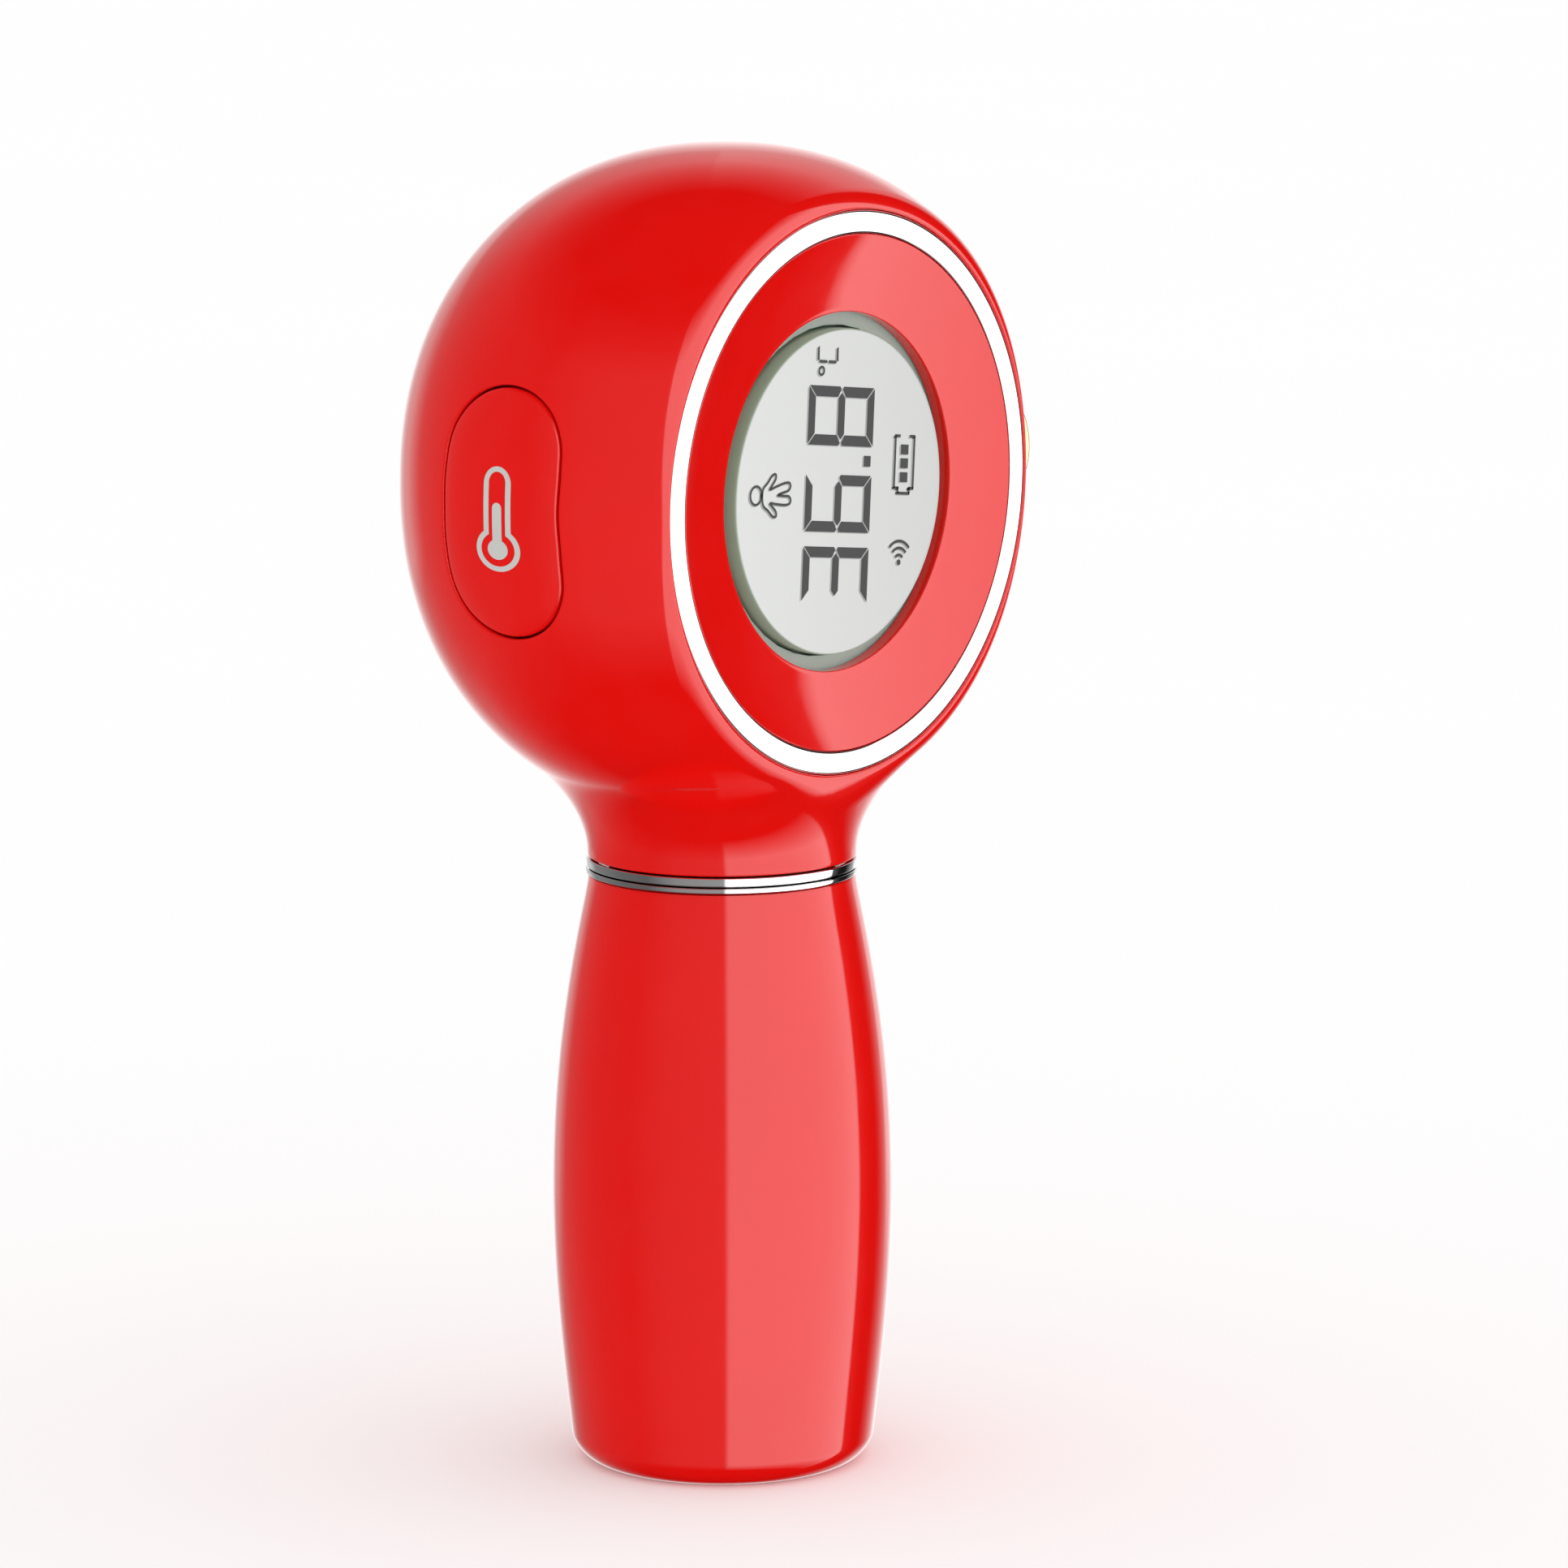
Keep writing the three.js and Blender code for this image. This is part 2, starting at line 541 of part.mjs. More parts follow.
function tactSwitch() {
  const low = BOARD_BACK_Y + GAP;
  const body = block(
    [SWITCH_X, low, -SWITCH_HEIGHT / 2],
    [SWITCH_X + SWITCH_DEPTH, KEY_STEM_Y + SWITCH_WIDTH / 2, SWITCH_HEIGHT / 2],
  );
  const bore = rod(X, PLUNGER_R + 0.2, SWITCH_X - 1, SWITCH_X + SWITCH_DEPTH - 0.8,
    [0, KEY_STEM_Y, 0], TINY_ROUND);
  return body.subtract(bore);
}

// The key is the piece of the ball's skin inside its outline, with a wider flange behind the
// shell that keeps it in, and a stem that reaches the switch.
function keyCap() {
  const behind = ballAndNeck(inset(KEY_WALL), ...CAVITY_FACETS);
  const face = skin.intersect(prismX(keyOutline(-SLIDE_GAP), -BALL_X - 1, -BALL_X / 2));
  const flange = ballAndNeck(inset(BALL_WALL + GAP), ...CAVITY_FACETS)
    .intersect(prismX(keyOutline(KEY_FLANGE), -BALL_X - 1, -BALL_X / 2));
  const tip = SWITCH_X - PLUNGER_REACH - GAP;
  const stem = rod(X, KEY_STEM_R, -BALL_X + 2, tip, [0, KEY_STEM_Y, 0], TINY_ROUND);
  return face.add(flange).subtract(behind).add(stem);
}

function keyParts() {
  const low = SWITCH_X - PLUNGER_REACH;
  const plunger = rod(X, PLUNGER_R, low, SWITCH_X + 1, [0, KEY_STEM_Y, 0], TINY_ROUND);
  return [
    piece('key_cap', keyCap(), RED, 0.25),
    piece('switch_plunger', plunger, 0x3a3b3d, 0.5),
  ];
}

// ---- Sensor nose -------------------------------------------------------------------------

function noseCollar() {
  const back = SENSOR_CAN_X + SENSOR_FLANGE;
  const shoulder = back + NOSE_SHOULDER;
  return turned(X, [
    [NOSE_BORE_R, back], [NOSE_R + NOSE_SHOULDER, back], [NOSE_R + NOSE_SHOULDER, shoulder],
    [NOSE_R, shoulder], [NOSE_R, TIP_RING_X - TRIM_GAP], [NOSE_BORE_R, TIP_RING_X - TRIM_GAP],
  ], SMALL_ROUND);
}

// The tip's face falls inwards to the horn's mouth.
function tipRing() {
  const inner = NOSE_BORE_R + 0.1;
  return turned(X, [
    [inner, TIP_RING_X], [NOSE_R + 0.1, TIP_RING_X], [NOSE_R + 0.3, NOSE_END_X - 0.4],
    [NOSE_R - 0.1, NOSE_END_X], [inner, NOSE_END_X - 0.6],
  ], SMALL_ROUND);
}

function sensorHorn() {
  const outer = NOSE_BORE_R - GAP;
  const mouth = NOSE_END_X - 0.8;
  return turned(X, [
    [HORN_THROAT_R, HORN_X], [outer, HORN_X], [outer, mouth], [HORN_MOUTH_R, mouth],
  ], SMALL_ROUND);
}

function sensorCan() {
  const cap = SENSOR_CAN_X + SENSOR_FLANGE;
  return turned(X, [
    [0, SENSOR_CAN_X], [SENSOR_CAN_R + 0.4, SENSOR_CAN_X], [SENSOR_CAN_R + 0.4, cap],
    [SENSOR_CAN_R, cap], [SENSOR_CAN_R, cap + SENSOR_CAN_LENGTH], [0, cap + SENSOR_CAN_LENGTH],
  ], SMALL_ROUND);
}

// A ribbon from the sensor board round to the back of the main board.
function sensorFlex() {
  const thickness = 0.3;
  const width = 5;
  const start = new THREE.Vector3(SENSOR_BOARD_X - GAP, 3, 0);
  const end = new THREE.Vector3(BOARD_R - 8, BOARD_BACK_Y + 0.6, 0);
  const curve = new THREE.CatmullRomCurve3([
    start, new THREE.Vector3(start.x - 3, 3.2, 0), new THREE.Vector3(start.x - 6, 0.5, 0),
    new THREE.Vector3(end.x + 2, end.y + 1, 0), end,
  ]);
  const near = [];
  const far = [];
  for (let i = 0; i <= 12; i += 1) {
    const at = curve.getPointAt(i / 12);
    const along = curve.getTangentAt(i / 12);
    const side = new THREE.Vector2(-along.y, along.x).multiplyScalar(thickness / 2);
    near.push(new THREE.Vector2(at.x, at.y).add(side));
    far.unshift(new THREE.Vector2(at.x, at.y).sub(side));
  }
  const strip = new THREE.Shape([...near, ...far]);
  const geometry = new THREE.ExtrudeGeometry(strip, { depth: width, bevelEnabled: false });
  geometry.translate(0, 0, -width / 2);
  return solid(geometry);
}

function noseParts() {
  const filterR = SENSOR_CAN_R - 0.5;
  const holderEnd = SENSOR_FILTER_X + SENSOR_FILTER;
  const holder = tube(
    X, SENSOR_CAN_R + 0.7, NOSE_BORE_R - GAP, SENSOR_CAN_X, holderEnd, SMALL_ROUND,
  );
  const filter = rod(X, filterR, SENSOR_FILTER_X, holderEnd);
  const board = rod(
    X, SENSOR_BOARD_R, SENSOR_BOARD_X, SENSOR_BOARD_X + SENSOR_BOARD_THICKNESS,
  );
  return [
    piece('nose_collar', noseCollar(), RED, 0.25),
    piece('nose_tip_ring', tipRing(), BRASS, 0.25, 1),
    piece('sensor_horn', sensorHorn(), CHROME, 0.1, 1),
    piece('sensor_filter', filter, 0x4a4438, 0.1),
    piece('sensor_can', sensorCan(), STEEL, 0.3, 1),
    piece('sensor_holder', holder, BRASS, 0.35, 1),
    piece('sensor_board', board, 0x1d5c3a, 0.5),
    piece('sensor_flex', sensorFlex(), 0xc07a2a, 0.5),
  ];
}

// ---- Battery carrier ---------------------------------------------------------------------

function carrier() {
  const bottom = POCKET_END_Z - CARRIER_END_WALL;
  let body = rod(Z, CARRIER_R, bottom, PLUG_TOP_Z, [0, 0, 0], ROUND)
    .subtract(block([-CARRIER_R, -2 * CARRIER_R, POCKET_END_Z], [CARRIER_R, 0, PLUG_END_Z]));
  for (const side of [-1, 1]) {
    const at = [side * CELL_SPACING / 2, 0, 0];
    body = body.subtract(rod(Z, CELL_CHANNEL_R, POCKET_END_Z, PLUG_END_Z, at));
  }
  const bridgeSlot = block(
    [-CELL_SPACING / 2, -1, POCKET_END_Z],
    [CELL_SPACING / 2, CONTACT_HALF + GAP, POCKET_END_Z + CONTACT_PLATE + 2 * GAP],
  );
  body = body.subtract(bridgeSlot);
  for (const at of carrierScrewPlaces) {
    body = body
      .subtract(rod(Z, SCREW_HEAD_R + GAP, bottom - 1, PLUG_TOP_Z - CARRIER_SCREW_SEAT, at, TINY_ROUND))
      .subtract(rod(Z, SCREW_HOLE_R, bottom, PLUG_TOP_Z + 1, at, TINY_ROUND));
  }
  const groove = tube(
    Z, CARRIER_R - 2 * SEAL_WIRE_R + 0.5, CARRIER_R + 1,
    sealZ() - SEAL_WIRE_R - 0.2, sealZ() + SEAL_WIRE_R + 0.2,
  );
  const leadHole = rod(Z, 2.4, PLUG_END_Z - 1, PLUG_TOP_Z + 1);
  return body.subtract(groove).subtract(leadHole);
}

const sealZ = () => HANDLE_LENGTH - SEAL_DEPTH;

function seal() {
  const geometry = new THREE.TorusGeometry(CARRIER_R + 0.05, SEAL_WIRE_R, 6, SMALL_ROUND);
  geometry.translate(0, 0, sealZ());
  return solid(geometry);
}

// A cell with its nub up or down, centred on the height that both share.
function cell(side, up) {
  const flip = up ? 1 : -1;
  const profile = [
    [0, 0], [CELL_R - 0.4, 0], [CELL_R, 0.4], [CELL_R, CELL_LENGTH - CELL_NUB_HEIGHT - 0.4],
    [CELL_R - 0.4, CELL_LENGTH - CELL_NUB_HEIGHT],
    [CELL_NUB_R, CELL_LENGTH - CELL_NUB_HEIGHT], [CELL_NUB_R, CELL_LENGTH], [0, CELL_LENGTH],
  ].map(([r, h]) => [r, flip * h]);
  const plate = GAP + CONTACT_PLATE + GAP;
  const z = up ? PLUG_END_Z - plate - CELL_LENGTH : POCKET_END_Z + plate + CELL_LENGTH;
  return turned(Z, profile, SMALL_ROUND).translate([side * CELL_SPACING / 2, 0, z]);
}

// A cone of spring wire standing on a contact plate, from z towards the cell.
function contactSpring(x, z, direction) {
  class Cone extends THREE.Curve {
    getPoint(t, target = new THREE.Vector3()) {
      const turn = 2 * Math.PI * 2.5 * t;
      const r = THREE.MathUtils.lerp(3.4, 2.0, t);
      const rise = t * (CONTACT_SPRING_HEIGHT - CONTACT_WIRE_R);
      return target.set(x + r * Math.cos(turn), r * Math.sin(turn), z + direction * rise);
    }
  }
  return wire(new Cone(), CONTACT_WIRE_R, 24, 4);
}

function contactPlate(x0, x1, z) {
  return block([x0, -CONTACT_HALF, z], [x1, CONTACT_HALF, z + CONTACT_PLATE]);
}

function lead(side) {
  const points = [
    [side * 1.0, 0, PLUG_END_Z + GAP], [side * 1.0, 0, PLUG_TOP_Z + 3],
    [side * 1.5 - 1, 0, PLUG_TOP_Z + 8], [side * 1.5 - 4, BOARD_BACK_Y + 2.5, HEAD_Z - 20],
    [side * 1.5 - 4, BOARD_BACK_Y + 1.2, HEAD_Z - 16.5],
  ];
  const curve = new THREE.CatmullRomCurve3(points.map((p) => new THREE.Vector3(...p)));
  return wire(curve, 0.5, 14, 5);
}

function carrierParts() {
  const far = CELL_SPACING / 2 + CONTACT_HALF;
  const near = CELL_SPACING / 2 - CONTACT_HALF;
  const low = POCKET_END_Z + GAP;
  const high = PLUG_END_Z - GAP - CONTACT_PLATE;
  const middle = CELL_SPACING / 2;
  const sink = CONTACT_PLATE / 2;
  const bridge = contactPlate(-far, far, low)
    .add(contactSpring(-middle, low + sink, 1));
  const negative = contactPlate(near, far, high).add(contactSpring(middle, high + sink, -1));
  const positive = contactPlate(-far, -near, high);
  return [
    piece('battery_carrier', carrier(), 0x2a2b2d, 0.6),
    piece('carrier_seal', seal(), 0x111111, 0.7),
    piece('battery_cell_1', cell(-1, true), 0x3d6f9e, 0.35),
    piece('battery_cell_2', cell(1, false), 0x3d6f9e, 0.35),
    piece('contact_bridge', bridge, STEEL, 0.3, 1),
    piece('contact_negative', negative, STEEL, 0.3, 1),
    piece('contact_positive', positive, STEEL, 0.3, 1),
    piece('battery_lead_positive', lead(-1), 0xb02020, 0.6),
    piece('battery_lead_negative', lead(1), 0x202020, 0.6),
    ...carrierScrewPlaces.map((at, i) => piece(
      `carrier_screw_${i + 1}`, screw(Z, PLUG_TOP_Z - CARRIER_SCREW_SEAT - GAP, 4.2, 1, at), STEEL, 0.35, 1,
    )),
  ];
}

// ---- Handle and neck rings ---------------------------------------------------------------

// The barrel's side from foot to top, moved in by a wall: a full belly, drawn in to a
// straight top.
function barrel(wall, from, steps) {
  const top = HANDLE_TOP_R - wall;
  const belly = top + BELLY_SWELL;
  const foot = top + FOOT_SWELL;
  const lower = bezier(
    steps, [foot, from], [foot + 0.95, from + (BELLY_HEIGHT - from) * 0.31],
    [belly, BELLY_HEIGHT - 10], [belly, BELLY_HEIGHT],
  );
  const rise = HANDLE_LENGTH - BELLY_HEIGHT;
  const upper = bezier(
    steps + 3, [belly, BELLY_HEIGHT], [belly, BELLY_HEIGHT + 0.56 * rise],
    [top, HANDLE_LENGTH - 0.068 * rise], [top, HANDLE_LENGTH],
  );
  return [...lower, ...upper.slice(1)];
}

function handleSleeve() {
  const foot = HANDLE_TOP_R + FOOT_SWELL;
  const k = FOOT_FILLET * 0.45;
  const edge = bezier(
    4, [foot - FOOT_FILLET, 0], [foot - FOOT_FILLET + k, 0], [foot - 0.12 * k, FOOT_FILLET - k],
    [foot, FOOT_FILLET],
  );
  const inside = barrel(HANDLE_WALL, HANDLE_FLOOR + FOOT_FILLET, 3).reverse();
  return turned(Z, [
    [0, 0], ...edge, ...barrel(0, FOOT_FILLET, 5).slice(1), ...inside,
    [foot - HANDLE_WALL - 1.2, HANDLE_FLOOR], [0, HANDLE_FLOOR],
  ]);
}

// A trim ring between two radii, with a softened outer edge.
function neckRing(inner, outer, low, height) {
  const soft = 0.15;
  return turned(Z, [
    [inner, low], [outer - soft, low], [outer, low + soft], [outer, low + height - soft],
    [outer - soft, low + height], [inner, low + height],
  ]);
}

// ---- The object --------------------------------------------------------------------------

const head = new THREE.Group();
head.position.z = HEAD_Z;
head.add(piece('head_shell', headShell(), RED, 0.25), ...displayParts(), ...noseParts());
head.add(...keyParts());

const handle = new THREE.Group();
const lowerRing = neckRing(
  HANDLE_BORE_R + 0.1, HANDLE_TOP_R + RING_PROUD, LOWER_RING_Z, LOWER_RING_HEIGHT,
);
const upperRing = neckRing(
  NECK_BORE_R + 0.2, NECK_R + RING_PROUD / 2, UPPER_RING_Z, UPPER_RING_HEIGHT,
);
handle.add(
  piece('handle_sleeve', handleSleeve(), RED, 0.25),
  piece('neck_ring_lower', lowerRing, CHROME, 0.12, 1),
);

const thermometer = new THREE.Group();
thermometer.add(head, handle, ...carrierParts());
thermometer.add(piece('neck_ring_upper', upperRing, CHROME, 0.12, 1));

export default thermometer;
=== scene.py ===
"""Looks for a hand-held infrared thermometer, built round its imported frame.

Shapes are worked out in millimetres in the head's own frame (the middle of the ball at the
origin) or in the object's frame, and are put into meshes in metres.
"""

import math

import bmesh
import bpy
import numpy as np
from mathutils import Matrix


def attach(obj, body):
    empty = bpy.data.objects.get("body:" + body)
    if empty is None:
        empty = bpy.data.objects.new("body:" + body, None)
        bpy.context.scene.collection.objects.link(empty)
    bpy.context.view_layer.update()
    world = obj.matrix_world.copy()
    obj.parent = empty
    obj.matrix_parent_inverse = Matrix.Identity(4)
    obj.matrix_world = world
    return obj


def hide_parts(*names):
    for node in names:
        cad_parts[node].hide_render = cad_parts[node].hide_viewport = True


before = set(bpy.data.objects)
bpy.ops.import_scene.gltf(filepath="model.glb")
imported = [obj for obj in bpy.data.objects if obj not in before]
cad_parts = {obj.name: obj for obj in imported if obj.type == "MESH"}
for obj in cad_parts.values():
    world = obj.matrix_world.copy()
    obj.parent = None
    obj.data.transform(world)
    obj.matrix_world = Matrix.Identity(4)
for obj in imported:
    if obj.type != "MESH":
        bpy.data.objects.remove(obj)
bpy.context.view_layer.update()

bl_info = {
    "name": "Infrared Thermometer",
    "version": (1, 0, 0),
    "blender": (4, 5, 0),
    "location": "3D View > Sidebar > Thermometer",
    "description": "Shapes, finishes and studio for a hand-held infrared thermometer",
    "category": "Object",
}

MM = 0.001

# ---- Sizes of the frame, in millimetres ---------------------------------------------------

HEAD_Z = 107.8
BALL = np.array([36.6, 33.1, 36.4])
BALL_POWER = 2.16
BALL_WALL = 2.0
NECK_R = 14.65
NECK_BORE_R = 12.4
NECK_DROP = 40.9
NECK_FILLET = 6.5
FRONT_Y = -BALL[1] * math.sqrt(1 - (30.7 / BALL[0]) ** 2)
TRIM_SEAT_R = 30.2
TRIM_BACK_Y = FRONT_Y + 2.3
TRIM_BORE_R = 27.68
TRIM_R = 30.15
COLLAR_R = 28.2
SEAT_R = 26.5
SEAT_Y = -12.27
BEZEL_R = 27.6
BEZEL_HOLE_R = 19.2
BEZEL_DISH = 1.7
BEZEL_WALL = 1.5
WINDOW_R = 17.45
WINDOW_FACE_Y = FRONT_Y + 1.75
CHASSIS_BACK_Y = -12.57
NOSE_R = 8.4
NOSE_HOLE_R = 8.7
NOSE_BORE_R = 5.6
NOSE_FLANGE_R = 10.3
NOSE_FOOT_X = 28.4
NOSE_FLANGE_X = 30.3
TIP_RING_X = 42.5
NOSE_END_X = 43.7
HORN_THROAT_R = 2.3
HORN_THROAT_X = 32.65
HORN_MOUTH_R = 4.9
KEY_MIDDLE = np.array([0.6, 0.0])
KEY_GAP = 0.25
KEY_SET_BACK = 0.07
KEY_FLANGE = 0.9
KEY_BACK = 3.5
STEM_R = 1.5
STEM_START_X = -33.0
STEM_END_X = -24.9
STEM_Y = -4.5
KEY_KNOTS = np.array([
    [0, 13.4], [-3.3, 12.7], [-5.8, 10.8], [-7.2, 8], [-7.45, 4.6], [-7.3, 0.6], [-7.5, -4],
    [-7.3, -8], [-5.6, -11], [-3.1, -12.7], [0, -13.3], [3.2, -12.7], [6, -11], [8, -8.2],
    [8.8, -4], [8.9, 0], [8.8, 4], [8, 8.2], [6, 11], [3.2, 12.8],
])
# Each neck ring: its body, its node in the frame, its bore and outer radius, its foot and top.
RINGS = {
    "ring_under_neck": ("head", "neck_ring_upper", 12.6, 14.8, 65.8, 66.75),
    "ring_on_handle": ("handle", "neck_ring_lower", 13.0, 14.85, 65.05, 65.65),
}
HANDLE_TOP_R = 14.55
HANDLE_FOOT_R = HANDLE_TOP_R + 2.0
HANDLE_BELLY_R = HANDLE_TOP_R + 3.99
FOOT_FILLET = 2.8
HANDLE_LENGTH = 64.9
HANDLE_WALL = 1.65
HANDLE_FLOOR = 2.4
BELLY_HEIGHT = 30.0
CARRIER_R = 12.1
PLUG_TOP_Z = 71.7
PLUG_END_Z = 60.6
POCKET_END_Z = 11.5
CARRIER_END_Z = 9.9
CELL_R = 5.25
CELL_LENGTH = 44.5
CELL_X = 5.5
CHANNEL_R = 5.45
CONTACT_ROOM = 1.0
SEAL_Z = 62.3
SEAL_R = 12.15
SEAL_WIRE_R = 0.6
GROOVE_R = 11.4
GROOVE_HALF = 0.8

# Steps round a turned piece, columns round the ball, and a distance that means far from an
# opening.
ROUND = 160
COLUMNS = 300
AWAY = 9.0


# ---- What a user would change -------------------------------------------------------------


def length(name, description, default):
    """A size in metres."""
    return bpy.props.FloatProperty(
        name=name, description=description, default=default, subtype="DISTANCE", unit="LENGTH",
        min=0.0, precision=5,
    )


def colour(name, description, default):
    """A colour, as linear red, green and blue."""
    return bpy.props.FloatVectorProperty(
        name=name, description=description, default=default, subtype="COLOR", size=3,
        min=0.0, max=1.0,
    )


def share(name, description, default, high=1.0):
    """A number from 0 to a high limit."""
    return bpy.props.FloatProperty(
        name=name, description=description, default=default, min=0.0, max=high,
        subtype="FACTOR" if high == 1.0 else "NONE",
    )


class ThermometerSizes(bpy.types.PropertyGroup):
    """Sizes of the finer shapes"""

    front_round: length("Front round", "Depth of the round between ball and display", 0.0015)
    edge_round: length("Edge round", "Round on the edges of the shell's openings", 0.00035)
    key_crown: length("Key crown", "How far the key's face stands above its edge", 0.00022)
    print_height: length("Print height", "Thickness of printed marks", 0.00003)
    digit_height: length("Digit height", "Height of the digits on the display", 0.0111)
    digit_width: length("Digit width", "Width of the digits on the display", 0.0061)


class ThermometerFinishes(bpy.types.PropertyGroup):
    """Colours and surface qualities"""

    shell: colour("Shell", "Colour of the moulded shell", (0.90, 0.0052, 0.0034))
    print: colour("Print", "Colour of the mark on the key", (0.66, 0.66, 0.63))
    face: colour("Display face", "Colour of the display's face", (0.72, 0.735, 0.72))
    face_side: colour("Display side", "Colour of the window's side", (0.355, 0.53, 0.385))
    segment: colour("Segment", "Colour of the display's dark segments", (0.036, 0.036, 0.038))
    chrome: colour("Chrome", "Colour of the bright trim", (0.93, 0.93, 0.935))
    tip: colour("Tip", "Colour of the sensor's metal", (0.80, 0.62, 0.36))
    cell: colour("Cell", "Colour of the cells' sleeves", (0.05, 0.17, 0.36))
    shell_roughness: share("Shell roughness", "Roughness of the moulded shell", 0.085)
    shell_coat: share("Shell coat", "Strength of the shell's gloss coat", 0.55)


class ThermometerStudio(bpy.types.PropertyGroup):
    """Light, floor and camera"""

    fill: share("Fill", "Strength of the even light", 1.0, 5.0)
    wall: share("Wall", "Strength of the white wall behind", 1.3, 5.0)
    floor: colour("Floor", "Colour of the floor", (0.93, 0.93, 0.93))
    focal: bpy.props.FloatProperty(
        name="Focal length", description="Focal length of the camera", default=185.8,
        subtype="DISTANCE_CAMERA", min=1.0,
    )


def sizes():
    """The finer sizes, in millimetres."""
    group = bpy.context.scene.thermometer_sizes
    return {key: getattr(group, key) / MM for key in ThermometerSizes.__annotations__}


def finishes():
    """The settings of the colours and surface qualities."""
    return bpy.context.scene.thermometer_finishes


# ---- Surfaces -----------------------------------------------------------------------------


def grid_triangles(rows, columns, wrap=True):
    """Two triangles for each cell of a grid of points stored row by row."""
    i = np.arange(rows - 1)[:, None]
    j = np.arange(columns if wrap else columns - 1)[None, :]
    a = i * columns + j
    b = i * columns + (j + 1) % columns
    c = b + columns
    d = a + columns
    return np.stack([a, b, c, a, c, d], -1).reshape(-1, 3)


def welded(points, triangles, near=1e-5):
    """Points that coincide become one, and triangles that close up are dropped. Also gives the
    numbers of the points that stay."""
    _, first, number = np.unique(
        np.round(points / near).astype(np.int64), axis=0, return_index=True, return_inverse=True,
    )
    triangles = number.reshape(-1)[triangles]
    a, b, c = triangles.T
    return points[first], triangles[(a != b) & (b != c) & (c != a)], first


def outward(points, triangles):
    """Turns a closed surface so that its volume, a sixth of the sum of the corners' triple
    products, is positive."""
    a, b, c = (points[triangles[:, k]] for k in range(3))
    volume = np.einsum("ij,ij->i", a, np.cross(b, c)).sum()
    return triangles[:, ::-1] if volume < 0 else triangles


def joined(*parts):
    """Several surfaces as one list of points and one of triangles."""
    starts = np.cumsum([0] + [len(points) for points, _ in parts[:-1]])
    points = np.concatenate([points for points, _ in parts])
    triangles = np.concatenate([t + start for (_, t), start in zip(parts, starts)])
    return points, triangles


def turn(count):
    """Even angles once round."""
    return np.linspace(0, 2 * np.pi, count, endpoint=False)


def spokes(angle):
    """Unit vectors at angles: the cosine, then the sine."""
    return np.stack([np.cos(angle), np.sin(angle)], -1)


def closed_grid(rings):
    """Rings of equal length as one closed surface: the first and last are points or coincide."""
    rings = np.asarray(rings, float)
    points, triangles, _ = welded(rings.reshape(-1, 3), grid_triangles(*rings.shape[:2]))
    return points, outward(points, triangles)


def turned(axis, profile, steps=ROUND):
    """A profile of [radius, height] turned round an axis: at an angle a the point is
    radius * (cos a, sin a) across the axis and height along it. An open profile ends on the
    axis at both ends, and any other closes on itself."""
    profile = np.asarray(profile, float)
    if profile[0, 0] > 0 or profile[-1, 0] > 0:
        profile = np.vstack([profile, profile[:1]])
    across = profile[:, :1, None] * spokes(turn(steps))
    along = np.broadcast_to(profile[:, 1:2], across.shape[:2])
    order = {"x": (2, 0, 1), "y": (0, 2, 1), "z": (0, 1, 2)}[axis]
    rings = np.stack([across[..., 0], across[..., 1], along], -1)[..., order]
    return closed_grid(rings)


def soft(profile, radius, steps=4, closed=True):
    """A profile whose corners are rounded: each corner gives way to a quadratic curve that
    leaves its two sides a radius before it, or two fifths of the side where that is less."""
    profile = np.asarray(profile, float)
    count = len(profile)
    radii = np.broadcast_to(radius, count)
    t = np.linspace(0, 1, steps + 1)[:, None]
    points = []
    for k, corner in enumerate(profile):
        at_end = not closed and k in (0, count - 1)
        if radii[k] == 0 or at_end:
            points.append(corner[None])
            continue
        before = profile[k - 1] - corner
        after = profile[(k + 1) % count] - corner
        ends = [corner + side * min(radii[k] / np.linalg.norm(side), 0.4)
                for side in (before, after)]
        points.append((1 - t) ** 2 * ends[0] + 2 * t * (1 - t) * corner + t ** 2 * ends[1])
    return np.concatenate(points)


def bezier(steps, *controls):
    """A cubic Bezier curve: the sum of its four controls, weighed by (1-t)^3, 3t(1-t)^2,
    3t^2(1-t) and t^3."""
    a, b, c, d = np.asarray(controls, float)
    t = np.linspace(0, 1, steps + 1)[:, None]
    return (1 - t) ** 3 * a + 3 * t * (1 - t) ** 2 * b + 3 * t ** 2 * (1 - t) * c + t ** 3 * d


def closed_curve(knots, count):
    """A smooth closed curve through knots: centripetal Catmull-Rom, which is a cubic between
    neighbours whose slopes weigh the spacing by its square root, at even spacing."""
    p = [np.roll(knots, shift, axis=0) for shift in (1, 0, -1, -2)]
    d0, d1, d2 = (np.sqrt(np.linalg.norm(b - a, axis=1))[:, None] for a, b in zip(p, p[1:]))
    start = (p[1] - p[0]) / d0 - (p[2] - p[0]) / (d0 + d1) + (p[2] - p[1]) / d1
    end = (p[2] - p[1]) / d1 - (p[3] - p[1]) / (d1 + d2) + (p[3] - p[2]) / d2
    start = (start * d1)[:, None]
    end = (end * d1)[:, None]
    a, b = p[1][:, None], p[2][:, None]
    t = np.linspace(0, 1, 24, endpoint=False)[None, :, None]
    curve = a + start * t + (3 * (b - a) - 2 * start - end) * t ** 2
    curve = (curve + (2 * (a - b) + start + end) * t ** 3).reshape(-1, 2)
    return even(curve, count)


def even(curve, count, closed=True):
    """A polyline at even spacing along its length."""
    path = np.vstack([curve, curve[:1]]) if closed else curve
    run = np.concatenate([[0], np.cumsum(np.linalg.norm(np.diff(path, axis=0), axis=1))])
    at = np.linspace(0, run[-1], count, endpoint=not closed)
    return np.stack([np.interp(at, run, path[:, k]) for k in range(path.shape[1])], -1)


